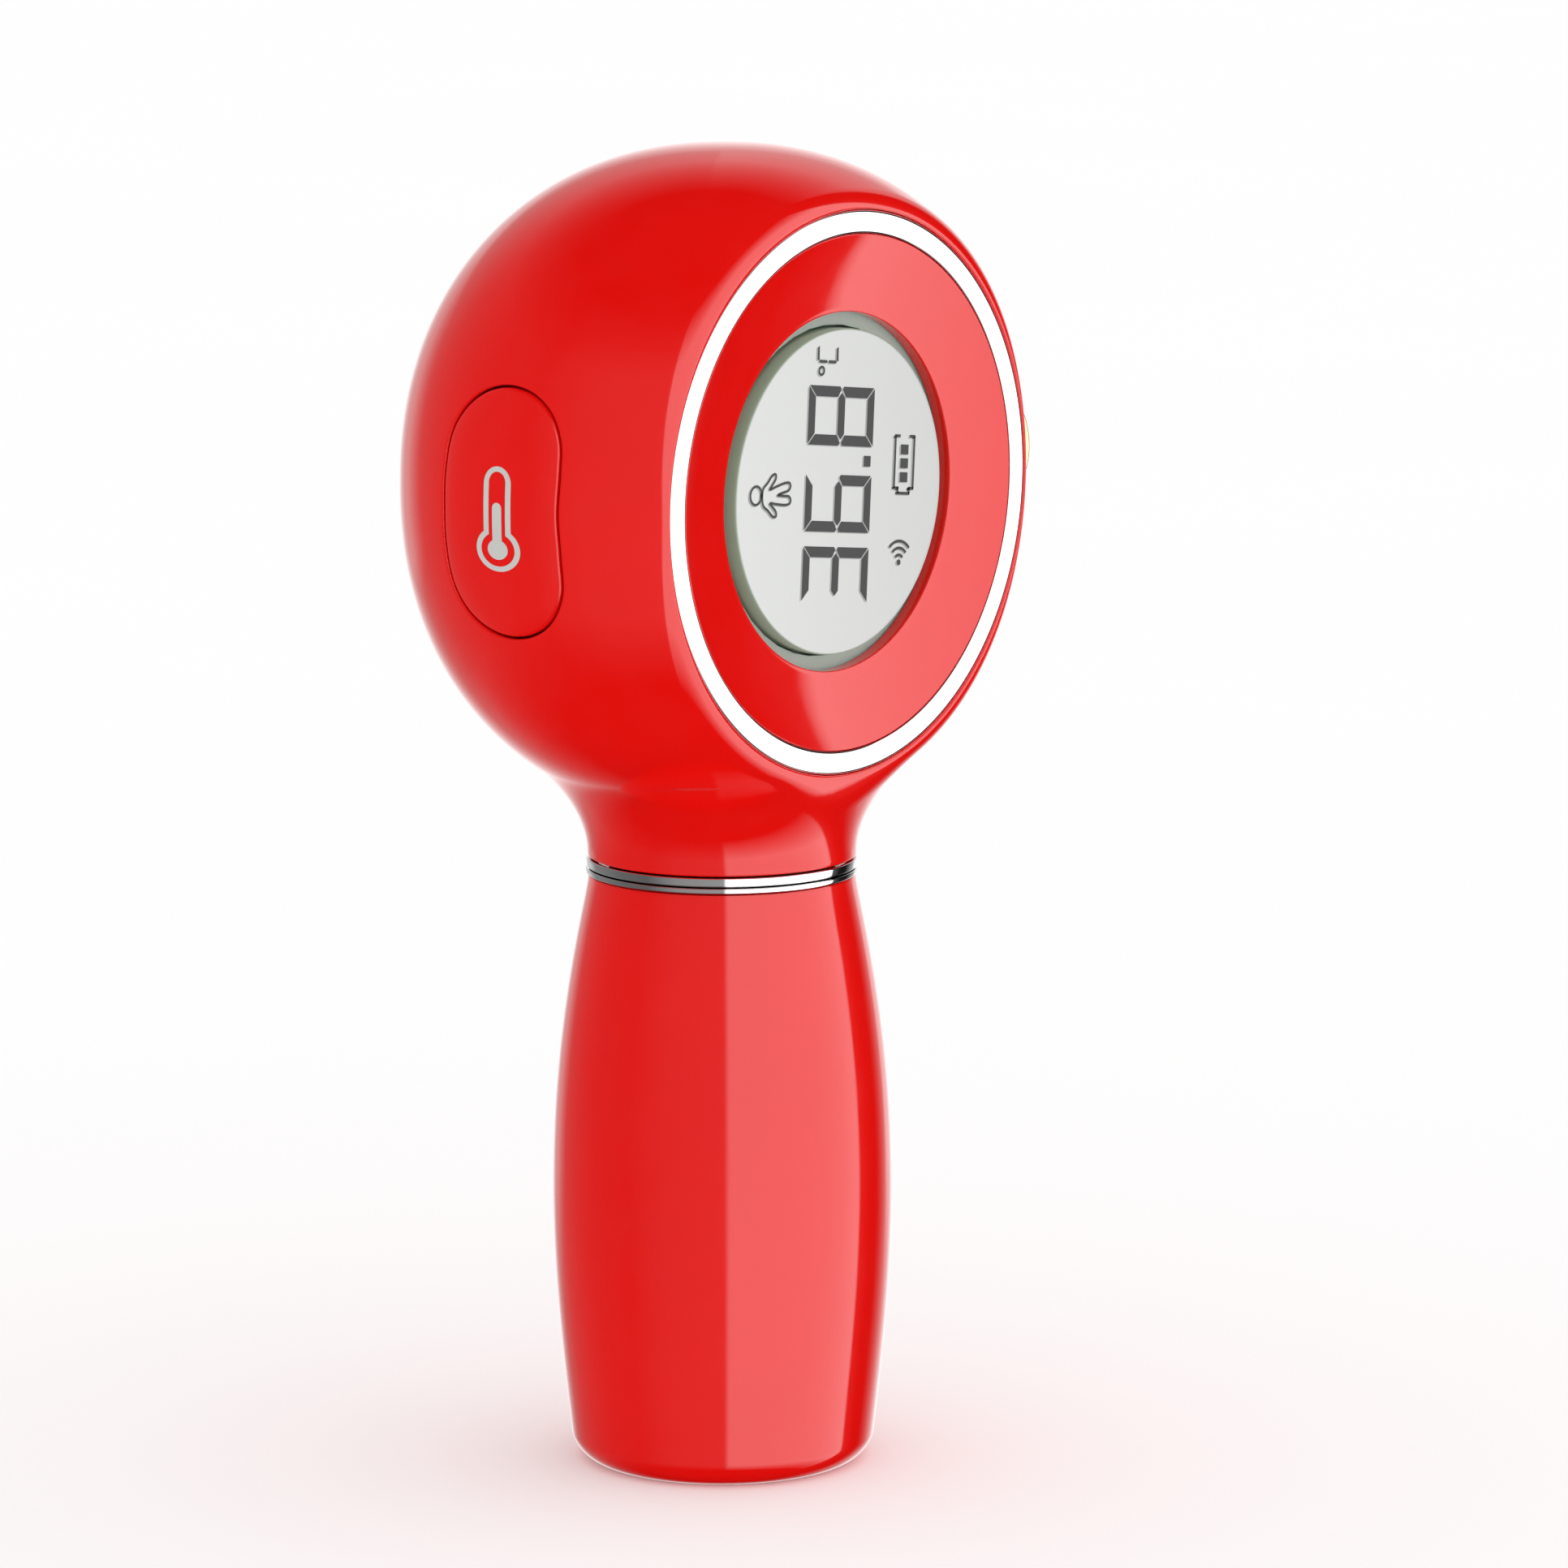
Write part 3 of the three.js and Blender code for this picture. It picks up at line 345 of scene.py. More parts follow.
def grown(outline, width):
    """A closed outline moved out by a width along its normals."""
    along = np.roll(outline, -1, axis=0) - np.roll(outline, 1, axis=0)
    along /= np.linalg.norm(along, axis=1)[:, None]
    area = np.sum(outline[:, 0] * np.roll(outline[:, 1], -1)
                  - outline[:, 1] * np.roll(outline[:, 0], -1))
    return outline + np.sign(area) * width * np.stack([along[:, 1], -along[:, 0]], -1)


def put(name, surface, finish_name, body, replaces=(), lift=HEAD_Z, sharp=34,
        normals=None):
    """Puts a surface in millimetres, moved up by lift, into a piece that rides on a body. Its
    slot holds the finish of that name, and edges over sharp degrees stay hard."""
    points, triangles = surface
    mesh = bpy.data.meshes.new(name)
    placed = ((points + [0, 0, lift]) * MM).astype(np.float32)
    mesh.vertices.add(len(placed))
    mesh.vertices.foreach_set("co", placed.ravel())
    mesh.loops.add(triangles.size)
    mesh.loops.foreach_set("vertex_index", triangles.ravel().astype(np.int32))
    mesh.polygons.add(len(triangles))
    mesh.polygons.foreach_set("loop_start", np.arange(0, triangles.size, 3, dtype=np.int32))
    mesh.update(calc_edges=True)
    mesh.validate()
    mesh.polygons.foreach_set("use_smooth", np.ones(len(mesh.polygons), bool))
    mesh.set_sharp_from_angle(angle=math.radians(sharp))
    if normals is not None:
        mesh.normals_split_custom_set_from_vertices(normals.tolist())
    mesh.materials.append(material(finish_name))
    piece = bpy.data.objects.new(name, mesh)
    bpy.context.scene.collection.objects.link(piece)
    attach(piece, body)
    if replaces:
        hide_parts(*replaces)


# ---- Ball and neck ------------------------------------------------------------------------


def outside(points, wall=0.0, neck=NECK_R):
    """How far points lie outside the body moved in by a wall. The ball's size is the n-th root
    of (r / waist)^n + (z / half-height)^n; below its middle the neck joins it, with a fillet
    where both are near."""
    x, y, z = np.moveaxis(points, -1, 0)
    half = BALL - wall
    r = np.hypot(x, y)
    across = np.hypot(x / half[0], y / half[1])
    total = np.maximum(across ** BALL_POWER + np.abs(z / half[2]) ** BALL_POWER, 1e-9)
    ball = np.hypot(r, z) * (1 - total ** (-1 / BALL_POWER))
    stem = r - neck
    fillet = NECK_FILLET + wall
    near = (ball < fillet) & (stem < fillet)
    blended = fillet - np.hypot(fillet - ball, fillet - stem)
    return np.where(z > 0, ball, np.where(near, blended, np.minimum(ball, stem)))


def reach(start, along, low, high, wall=0.0, neck=NECK_R):
    """The points where lines from start leave the body, between low and high along them,
    found by halving."""
    low = np.full(start.shape[:-1], float(low))
    high = np.full(start.shape[:-1], float(high))
    for _ in range(34):
        middle = (low + high) / 2
        out = outside(start + middle[..., None] * along, wall, neck) > 0
        high = np.where(out, middle, high)
        low = np.where(out, low, middle)
    return start + low[..., None] * along


def skin_normals(points):
    """The body's outward direction, from differences of outside() over a hundredth."""
    step = 0.01
    slope = np.stack([
        outside(points + step * axis) - outside(points - step * axis) for axis in np.eye(3)
    ], -1)
    return slope / np.linalg.norm(slope, axis=-1, keepdims=True)


def side_x(places, side, wall=0.0):
    """Points of the body's side, +X or -X, at places given by Y and Z."""
    start = np.stack([np.zeros(len(places)), places[:, 0], places[:, 1]], -1)
    return reach(start, np.array([side, 0.0, 0.0]), 0, 50, wall)


def body_sheet(heights, wall=0.0, neck=NECK_R):
    """Rings of the body at given heights, from a pole at its top to the neck's end."""
    along = np.column_stack([spokes(turn(COLUMNS)), np.zeros(COLUMNS)])
    start = np.zeros((len(heights), COLUMNS, 3))
    start[..., 2] = np.asarray(heights)[:, None]
    rings = reach(start, along[None], 1e-3, 60, wall, neck)
    top = np.broadcast_to([0, 0, BALL[2] - wall], (1, COLUMNS, 3))
    rings = np.concatenate([top, rings])
    return rings.reshape(-1, 3), grid_triangles(len(rings), COLUMNS)


def cut(points, triangles, side, place):
    """Cuts a sheet where side, one number for each point, changes sign, and keeps what is
    positive. New points sit on the crossed edges, moved by place. Gives the new points and
    triangles, and the numbers of the points on the cut."""
    side = np.where(np.abs(side) < 0.02, 0.02 * np.where(side < 0, -1, 1), side)
    keep = side > 0
    count = keep[triangles].sum(1)
    rolled = {}
    for number, lone in ((1, keep), (2, ~keep)):
        some = triangles[count == number]
        first = np.argmax(lone[some], axis=1)
        rows = np.arange(len(some))[:, None]
        rolled[number] = some[rows, (first[:, None] + np.arange(3)) % 3]
    crossed = [t[:, pair] for t in rolled.values() for pair in ([0, 1], [0, 2])]
    edges = np.sort(np.concatenate(crossed), axis=1)
    unique, number = np.unique(edges, axis=0, return_inverse=True)
    share_of = side[unique[:, 0]] / (side[unique[:, 0]] - side[unique[:, 1]])
    new = points[unique[:, 0]] + share_of[:, None] * (points[unique[:, 1]] - points[unique[:, 0]])
    number = number.reshape(-1) + len(points)
    parts = np.split(number, np.cumsum([len(c) for c in crossed])[:-1])
    (ab, ac), (pq, pr) = parts[:2], parts[2:]
    kept = np.concatenate([
        triangles[count == 3],
        np.stack([rolled[1][:, 0], ab, ac], -1),
        np.stack([pq, rolled[2][:, 1], rolled[2][:, 2]], -1),
        np.stack([pq, rolled[2][:, 2], pr], -1),
    ])
    numbers = np.arange(len(points), len(points) + len(new))
    return np.vstack([points, place(new)]), kept, numbers


def key_outline(grow, count=240):
    """The key's opening, by Y and Z, moved out by grow."""
    return grown(closed_curve(KEY_KNOTS.astype(float), count), grow)


def round_key(places):
    """Places by Y and Z as a distance and an angle round the key's middle."""
    spoke = places - KEY_MIDDLE
    return np.linalg.norm(spoke, axis=1), np.arctan2(spoke[:, 1], spoke[:, 0])


def outline_reach(outline, angle):
    """How far an outline, a star round the key's middle, lies from it at given angles."""
    far, at = round_key(outline)
    order = np.argsort(at)
    return np.interp(angle, at[order], far[order], period=2 * np.pi)


def outline_gap(places, outline):
    """Signed distance from places to the outline: negative where a place is nearer to the
    key's middle than the outline is in its own direction."""
    along = np.roll(outline, -1, axis=0) - outline
    across = places[:, None] - outline[None]
    t = np.clip((across * along).sum(-1) / (along ** 2).sum(-1), 0, 1)
    gap = np.linalg.norm(across - t[..., None] * along, axis=-1).min(1)
    far, angle = round_key(places)
    return np.where(far < outline_reach(outline, angle), -gap, gap)


class Shell:
    """Points and triangles gathered band by band."""

    def __init__(self):
        self.points = np.zeros((0, 3))
        self.triangles = np.zeros((0, 3), int)

    def add(self, points, triangles=()):
        """Adds points, and triangles that count from the first of them, and gives its number."""
        start = len(self.points)
        self.points = np.vstack([self.points, points])
        if len(triangles):
            self.triangles = np.vstack([self.triangles, np.asarray(triangles) + start])
        return start

    def bridge(self, ring, other):
        """Two triangles between each pair of neighbours on two rings of equal count."""
        a, b = ring, np.roll(ring, -1)
        c, d = np.roll(other, -1), other
        self.triangles = np.vstack([
            self.triangles, np.stack([a, b, c], -1), np.stack([a, c, d], -1),
        ])

    def bands(self, ring, rings):
        """Bands from a ring of point numbers through new rings; gives the last one's numbers."""
        for points in rings:
            fresh = self.add(points) + np.arange(len(points))
            self.bridge(ring, fresh)
            ring = fresh
        return ring

    def zipped(self, ring, angle, other, other_angle):
        """Closes the gap between two rings with different counts, both in order of angle."""
        other_at = (np.searchsorted(other_angle, np.roll(angle, -1), "left") - 1) % len(other)
        other_at[-1] = len(other) - 1
        at = (np.searchsorted(angle, np.roll(other_angle, -1), "right") - 1) % len(ring)
        at[-1] = 0
        self.triangles = np.vstack([
            self.triangles,
            np.stack([ring, np.roll(ring, -1), other[other_at]], -1),
            np.stack([np.roll(other, -1), other, ring[at]], -1),
        ])


def in_order(points, numbers, across, middle=(0.0, 0.0)):
    """Point numbers in order of their angle round a middle, seen along an axis: the angle is
    measured from X (across is 0) or Y (across is 1) towards Z. Gives the angles too."""
    level, up = points[numbers, across] - middle[0], points[numbers, 2] - middle[1]
    angle = np.arctan2(up, level)
    order = np.argsort(angle)
    return numbers[order], angle[order]


def rounded_edge(edge, corner, down, steps=5):
    """Rings from an edge to a point below a corner: (1-t)^2 edge + 2t(1-t) corner + t^2 down."""
    t = np.linspace(0, 1, steps + 1)[1:, None, None]
    return list((1 - t) ** 2 * edge + 2 * t * (1 - t) * corner + t ** 2 * down)


def opened(heights, wall, neck, front_y, nose_r, outline):
    """A sheet of the body with the display's, the nose's and the key's openings cut in it. New
    points go onto the body, straight out from the axis or the plane that hold leaves."""
    def onto(*hold):
        hold = np.array(hold)
        return lambda new: reach(new * hold, new * (1 - hold), 0, 1.5, wall, neck)

    points, triangles = body_sheet(heights, wall, neck)
    side = points[:, 1] - front_y
    points, triangles, front = cut(points, triangles, side, onto(0, 1, 0))
    side = np.where(points[:, 0] > 0, np.hypot(points[:, 1], points[:, 2]) - nose_r, AWAY)
    points, triangles, nose = cut(points, triangles, side, onto(0, 1, 1))
    side = np.full(len(points), AWAY)
    near = (points[:, 0] < -20) & (np.abs(points[:, 1]) < 14) & (np.abs(points[:, 2]) < 18)
    side[near] = outline_gap(points[near][:, 1:], outline)
    points, triangles, key = cut(points, triangles, side, onto(0, 1, 1))
    return points, triangles, front, nose, key


def head_shell():
    """Ball and neck as a sheet of rings with three openings, an inner sheet a wall behind, and
    bands that run in from each opening's rounded edge to the inner sheet. The sheets' heights
    are the ball's half-height times the cosine of an even angle, and then even on the neck."""
    size = sizes()
    edge_r = size["edge_round"]
    span = np.linspace(0, math.radians(150), 121)[1:]
    heights = BALL[2] * np.cos(span)
    heights = np.concatenate([heights, np.linspace(heights[-1], -NECK_DROP + 0.3, 30)[1:]])
    outer, triangles, front, nose, key = opened(
        heights, 0.0, NECK_R, FRONT_Y + size["front_round"], NOSE_HOLE_R + edge_r,
        key_outline(edge_r),
    )
    shell = Shell()
    shell.add(outer, triangles)
    inner_heights = (BALL[2] - BALL_WALL) * np.cos(span[2::4])
    inner_heights = np.concatenate([
        inner_heights, np.linspace(inner_heights[-1], -NECK_DROP, 12)[1:],
    ])
    collar_back = TRIM_BACK_Y + BALL_WALL
    inner, inner_triangles, *inner_rings = opened(
        inner_heights, BALL_WALL, NECK_BORE_R, collar_back, NOSE_HOLE_R, key_outline(0),
    )
    start = shell.add(inner, inner_triangles[:, ::-1])
    inner_front, inner_nose, inner_key = (numbers + start for numbers in inner_rings)

    # The neck's end: a small round, the flat face and the bore.
    last = len(heights) * COLUMNS + np.arange(COLUMNS)
    bore = start + len(inner_heights) * COLUMNS + np.arange(COLUMNS)
    ring = np.column_stack([spokes(turn(COLUMNS)), np.zeros(COLUMNS)])
    down = np.array([0, 0, -NECK_DROP])
    low = shell.bands(last, rounded_edge(
        shell.points[last], ring * NECK_R + down, ring * (NECK_R - 0.3) + down, 4,
    ))
    shell.bridge(low, bore)

    # The display's opening: a round from the ball to the front face, then the stepped seat.
    ring, angle = in_order(shell.points, front, 0)
    flat = np.insert(spokes(angle), 1, 0.0, axis=1)
    centre = np.broadcast_to([0.0, FRONT_Y, 0.0], flat.shape)
    seat_wall_r = COLLAR_R + 1.6
    seat = soft(
        [[TRIM_SEAT_R + 0.12, FRONT_Y], [TRIM_SEAT_R, FRONT_Y + 0.12],
         [TRIM_SEAT_R, TRIM_BACK_Y], [COLLAR_R, TRIM_BACK_Y], [COLLAR_R, SEAT_Y],
         [SEAT_R, SEAT_Y], [SEAT_R, SEAT_Y + BALL_WALL], [seat_wall_r, SEAT_Y + BALL_WALL],
         [seat_wall_r, collar_back]], 0.15, 2, closed=False,
    )
    rings = rounded_edge(
        shell.points[ring], reach(centre, flat, 20, 50), flat * seat[0, 0] + centre, 7,
    )
    rings += [flat * r + [0, y, 0] for r, y in seat[1:]]
    ring = shell.bands(ring, rings)
    shell.zipped(ring, angle, *in_order(shell.points, inner_front, 0))

    def side_opening(numbers, inner_numbers, middle, reach_at, side):
        """A small round on the edge of an opening in the side, whose corner is at reach_at
        from its middle, and the band through the wall."""
        ring, angle = in_order(shell.points, numbers, 1, middle)
        corner = side_x(middle + reach_at(angle)[:, None] * spokes(angle), side)
        edge = shell.points[ring]
        ring = shell.bands(ring, rounded_edge(edge, corner, corner - [side * edge_r, 0, 0]))
        shell.zipped(ring, angle, *in_order(shell.points, inner_numbers, 1, middle))

    outline = key_outline(0, 720)
    side_opening(nose, inner_nose, np.zeros(2), lambda angle: angle * 0 + NOSE_HOLE_R, 1)
    side_opening(key, inner_key, KEY_MIDDLE, lambda angle: outline_reach(outline, angle), -1)

    normals = np.zeros_like(shell.points)
    skin = np.arange(len(normals)) < len(outer)
    skin[last] = False
    normals[skin] = skin_normals(shell.points[skin])
    used = np.zeros(len(normals), bool)
    used[shell.triangles] = True
    number = np.cumsum(used) - 1
    points, triangles, first = welded(shell.points[used], number[shell.triangles])
    return (points, consistent(points, triangles)), normals[used][first]


def consistent(points, triangles):
    """The triangles of a closed surface, all turned outwards."""
    mesh = bpy.data.meshes.new("winding")
    mesh.from_pydata(points.tolist(), [], triangles.tolist())
    work = bmesh.new()
    work.from_mesh(mesh)
    bmesh.ops.recalc_face_normals(work, faces=work.faces)
    work.to_mesh(mesh)
    work.free()
    found = np.zeros(len(mesh.loops), np.int32)
    mesh.loops.foreach_get("vertex_index", found)
    bpy.data.meshes.remove(mesh)
    return outward(points, found.reshape(-1, 3).astype(int))


# ---- Key ----------------------------------------------------------------------------------


def key_share(places):
    """How far places are from the key's middle, as a share of the outline's distance."""
    far, angle = round_key(places)
    return np.minimum(far / outline_reach(key_outline(-KEY_GAP, 720), angle), 1.0)


def key_face(places, rise=0.0):
    """The key's crowned face at places given by Y and Z: the ball's side, raised by the crown
    times 1 - share^9 and set back a little at its edge."""
    crown = sizes()["key_crown"]
    surface = side_x(places, -1)
    surface[:, 0] -= crown * (1 - key_share(places) ** 9) - KEY_SET_BACK + rise
    return surface


def key_cap():
    """Rings of the key's outline shrunk towards its middle for the face, a rounded edge, the
    side, the flange behind the shell, and the back; and a turned stem."""
    edge = 0.3
    top = key_outline(-KEY_GAP - edge)
    shares = 1 - (1 - np.linspace(0, 1, 40)) ** 1.6
    rings = [key_face(KEY_MIDDLE + s * (top - KEY_MIDDLE)) for s in shares]
    side = key_outline(-KEY_GAP)
    corner = side_x(side, -1) + [KEY_SET_BACK, 0, 0]
    rings += rounded_edge(rings[-1], corner, corner + [edge, 0, 0])
    wide = key_outline(KEY_FLANGE)
    flange = BALL_WALL + 0.3
    rings.append(side_x(side, -1, flange))
    rings += [side_x(wide, -1, wall) for wall in (flange, KEY_BACK)]
    rings += [side_x(KEY_MIDDLE + s * (wide - KEY_MIDDLE), -1, KEY_BACK) for s in (0.66, 0.33, 0)]
    stem, triangles = turned("x", soft([
        [0, STEM_START_X], [STEM_R, STEM_START_X], [STEM_R, STEM_END_X], [0, STEM_END_X],
    ], [0, 0, 0.3, 0], 3, closed=False), 40)
    return joined(closed_grid(rings), (stem + [0, STEM_Y, 0], triangles))


def stem_and_bulb(tube, top, bulb, count):
    """The outline of a thermometer sign: round the bulb's middle, the distance in each
    direction is the larger of the bulb's ellipse and the tube's side or round top."""
    lean = np.linspace(-1, 1, 4001)
    angle = np.pi * np.sign(lean) * np.abs(lean) ** 2.6
    s, c = np.sin(angle), np.cos(angle)
    ellipse = 1 / np.hypot(s / bulb[0], c / bulb[1])
    height = top - tube
    side = tube / np.maximum(np.abs(s), 1e-9)
    drop = height * c
    cap = drop + np.sqrt(np.maximum(tube ** 2 - (height * s) ** 2, 0))
    strip = np.where(side * c < height, side, cap)
    strip = np.where(c > 0, strip, 0)
    far = np.maximum(ellipse, strip)[:-1]
    return even(np.stack([far * s[:-1], far * c[:-1]], -1), count)


def key_mark():
    """The printed sign on the key: a band between two outlines, and a filled inner sign."""
    height = sizes()["print_height"]
    middle = np.array([0.13, -3.65])
    outer = stem_and_bulb(1.85, 8.75, (3.0, 2.33), 360)
    inner = stem_and_bulb(1.15, 8.2, (2.3, 1.78), 360)
    core = stem_and_bulb(0.63, 4.95, (1.37, 1.06), 240)

    def face(outline, rise):
        return key_face(middle + outline, rise)

    band = [face(outer, 0), face(outer, height), face(inner, height), face(inner, 0),
            face(outer, 0)]
    fill = [face(core * s, height) for s in (0, 0.35, 0.7, 1)]
    fill += [face(core, 0)] + [face(core * s, -0.01) for s in (0.5, 0)]
    return joined(closed_grid(band), closed_grid(fill))


# ---- Display ------------------------------------------------------------------------------


def trim_ring():
    """A flat bright ring, turned from a rectangle whose front edges are rounded."""
    y = FRONT_Y
    return turned("y", soft([
        [TRIM_BORE_R, y + 0.14], [TRIM_BORE_R + 0.17, y + 0.02], [TRIM_R - 0.25, y],
        [TRIM_R, y + 0.2], [TRIM_R, y + 2.0], [TRIM_BORE_R, y + 2.0],
    ], [0.06, 0.1, 0.2, 0.15, 0.1, 0.1], 6), 256)


def bezel():
    """A dished ring: its face is a Bezier curve that falls from the rim to the hole."""
    edge_y = FRONT_Y + 0.15
    hole_y = edge_y + BEZEL_DISH
    back_y = hole_y + BEZEL_WALL
    width = BEZEL_R - BEZEL_HOLE_R
    face = bezier(
        26, [BEZEL_R - 0.1, edge_y], [BEZEL_R - width / 3, edge_y + 0.765],
        [BEZEL_HOLE_R + width / 3, hole_y - 0.425], [BEZEL_HOLE_R + 0.3, hole_y - 0.01],
    )
    lip = soft([[BEZEL_HOLE_R + 0.3, hole_y - 0.01], [BEZEL_HOLE_R, hole_y],
                [BEZEL_HOLE_R, back_y]], 0.3, 5, closed=False)
    return turned("y", np.vstack([
        face, lip[1:], [[BEZEL_HOLE_R + 1.5, back_y], [BEZEL_R, edge_y + 1.8],
                        [BEZEL_R, edge_y + 0.1]],
    ]), 256)


def window():
    """A thick disc with a rounded front edge."""
    face = [[r, WINDOW_FACE_Y] for r in (0, 6, 12, WINDOW_R - 0.6)]
    edge = soft([[WINDOW_R - 0.6, WINDOW_FACE_Y], [WINDOW_R, WINDOW_FACE_Y],
                 [WINDOW_R, CHASSIS_BACK_Y]], 0.5, 8, closed=False)
    return turned("y", np.vstack([face, edge[1:], [[0, CHASSIS_BACK_Y]]]), 256)


# The reading runs up the display: along goes up a line of digits, up goes from the foot of a
# digit to its head, and both are given by X and Z.
LINE_START = np.array([4.57, -12.46])
ALONG = np.array([0.0615, 1.0])
UP = np.array([-1.0, 0.127])
SUNK = 0.02
SEGMENT_WIDTH = 1.13
SEGMENT_GAP = 0.12
SHADE_SHIFT = np.array([-0.24, -0.07])


def on_line(places):
    """Places given along and up the reading, as X and Z on the display."""
    places = np.asarray(places, float)
    return LINE_START + places[..., :1] * ALONG + places[..., 1:] * UP


def above_face(places, rise):
    """Places by X and Z as points that stand a height above the display's face."""
    return np.insert(places, 1, WINDOW_FACE_Y - rise, axis=1)


def plate(outline, low, high):
    """A flat plate with the outline given by X and Z, between two heights above the face."""
    outline = np.asarray(outline, float)
    middle = outline.mean(0)
    return closed_grid([
        above_face(middle + share_of * (outline - middle), rise)
        for share_of, rise in ((0, high), (1, high), (1, low), (0, low))
    ])


def stroke(path, width, low, high, closed=True):
    """A band of even width along a path of places, between two heights above the face."""
    path = np.asarray(path, float)
    if closed:
        along = np.roll(path, -1, axis=0) - np.roll(path, 1, axis=0)
    else:
        along = np.gradient(path, axis=0)
    along /= np.linalg.norm(along, axis=1)[:, None]
    out = np.stack([along[:, 1], -along[:, 0]], -1) * width / 2
    corners = [(path + out, low), (path + out, high), (path - out, high), (path - out, low)]
    corners.append(corners[0])
    rings = np.array([above_face(places, rise) for places, rise in corners])
    if closed:
        return closed_grid(rings)
    ends = rings[:4].mean(0)
    rings = rings.transpose(1, 0, 2)[:, :4]
    caps = [np.broadcast_to(ends[k], (1, 4, 3)) for k in (0, -1)]
    return closed_grid(np.concatenate([caps[0], rings, caps[1]]))


def digit(lit, start, width, height):
    """Seven segments as plates with pointed ends, in a box measured along and up the reading.
    One segment across and one upright give the others by being flipped in the box."""
    thick, gap, lean = SEGMENT_WIDTH, SEGMENT_GAP, 0.32
    inner, half, middle = thick + gap, thick / 2, height / 2
    level = [[gap, height], [width - gap, height], [width - inner, height - thick],
             [inner, height - thick]]
    upright = [[0, height - gap], [thick, height - inner], [thick, middle + half + gap],
               [lean, middle + gap], [0, middle + lean]]
    centre = [[inner, middle + half], [width - inner, middle + half],
              [width - inner + half, middle], [width - inner, middle - half],
              [inner, middle - half], [inner - half, middle]]

    def flipped(shape, along, up):
        x, y = np.transpose(shape)
        return np.stack([width - x if along else x, height - y if up else y], -1)

    shapes = {
        "a": flipped(level, False, False), "d": flipped(level, False, True),
        "f": flipped(upright, False, False), "b": flipped(upright, True, False),
        "e": flipped(upright, False, True), "c": flipped(upright, True, True),
        "g": np.array(centre),
    }
    return [on_line(shapes[name] + [start, 0]) for name in lit]


def ellipse(centre, across, high, count=64):
    """Points of an ellipse: its middle, plus the cosine and sine of even angles by its halves."""
    return np.asarray(centre) + spokes(turn(count)) * [across, high]


def reading_plates(size):
    """Filled marks of the reading: digits, point, unit, and the bars of the battery sign."""
    width, height = size["digit_width"], size["digit_height"]
    marks = digit("abcdg", 0.0, width - 0.2, height)
    marks += digit("acdefg", 7.5, width, height)
    marks += digit("abcdefg", 16.7, width + 0.2, height)
    marks.append(on_line([[14.6, 0.25], [15.75, 0.25], [15.75, 1.4], [14.6, 1.4]]))
    unit = 25.4
    for low in (6.4, 9.6):
        marks.append(on_line([[unit + 0.25, low], [unit + 1.75, low + 0.05],
                              [unit + 1.6, low + 0.33], [unit + 0.3, low + 0.33]]))
    for low in (6.7, 8.25):
        marks.append(on_line([[unit, low + 0.1], [unit + 0.16, low], [unit + 0.32, low + 0.1],
                              [unit + 0.32, low + 1.25], [unit + 0.16, low + 1.4],
                              [unit, low + 1.25]]))
    for start in (13.1, 14.6, 16.08):
        marks.append(on_line([[start, -6.22], [start + 1.06, -6.22], [start + 1.06, -4.92],
                              [start, -4.92]]))
    return marks


def reading_strokes():
    """Outlined marks: paths, widths, and whether each closes on itself."""
    degree = ellipse([-3.08, 13.25], 0.42, 0.42, 40)
    head = ellipse([-14.1, 1.06], 0.94, 0.98, 64)
    body = [[1.15, 0.8], [2.0, 1.45], [2.95, 2.2], [3.45, 2.2], [3.45, 1.75], [2.9, 1.2],
            [2.42, 0.72], [3.6, 0.92], [5.3, 1.15], [5.95, 1.05], [6.1, 0.7], [5.8, 0.32],
            [4.8, 0.15], [3.85, -0.02]]
    lower = [[x, -z - 0.05] for x, z in body[::-1][1:]]
    figure = closed_curve(np.array(body + lower) * [0.93, 1.0] + [-14.0, 0.77], 220)
    sides = [
        [[18.05, -3.95], [12.45, -3.95]], [[18.05, -7.2], [12.45, -7.2]],
        [[12.45, -3.82], [12.45, -4.72]], [[12.45, -7.33], [12.45, -6.43]],
        [[12.58, -4.6], [11.9, -4.6]], [[12.58, -6.55], [11.9, -6.55]],
        [[11.9, -4.46], [11.9, -6.69]],
        [[18.05, -3.82], [18.05, -4.78]], [[18.05, -7.33], [18.05, -6.37]],
    ]
    strokes = [(degree, 0.26, True), (head, 0.27, True), (figure, 0.27, True)]
    strokes += [(even(on_line(side), 4, closed=False), 0.31, False) for side in sides]
    angle = np.linspace(-0.8, 0.8, 30)
    for radius in (0.85, 1.6, 2.35):
        strokes.append((on_line(radius * spokes(angle) + [4.4, -5.3]), 0.31, False))
    return strokes


def reading(size, shift, low, high):
    """The display's marks as plates, all moved by shift."""
    parts = [plate(outline + shift, low, high) for outline in reading_plates(size)]
    parts += [stroke(path + shift, width, low, high, closed)
              for path, width, closed in reading_strokes()]
    parts.append(plate(on_line(ellipse([4.45, -5.3], 0.32, 0.32, 24)) + shift, low, high))
    return joined(*parts)


# ---- Nose ---------------------------------------------------------------------------------


def nose_collar():
    """A tube with a flange behind the shell."""
    return turned("x", soft([
        [NOSE_BORE_R, NOSE_FOOT_X], [NOSE_FLANGE_R, NOSE_FOOT_X],
        [NOSE_FLANGE_R, NOSE_FLANGE_X], [NOSE_R, NOSE_FLANGE_X], [NOSE_R, TIP_RING_X - 0.15],
        [NOSE_BORE_R, TIP_RING_X - 0.15],
    ], [0.1, 0.2, 0.2, 0.2, 0.2, 0.1], 4))


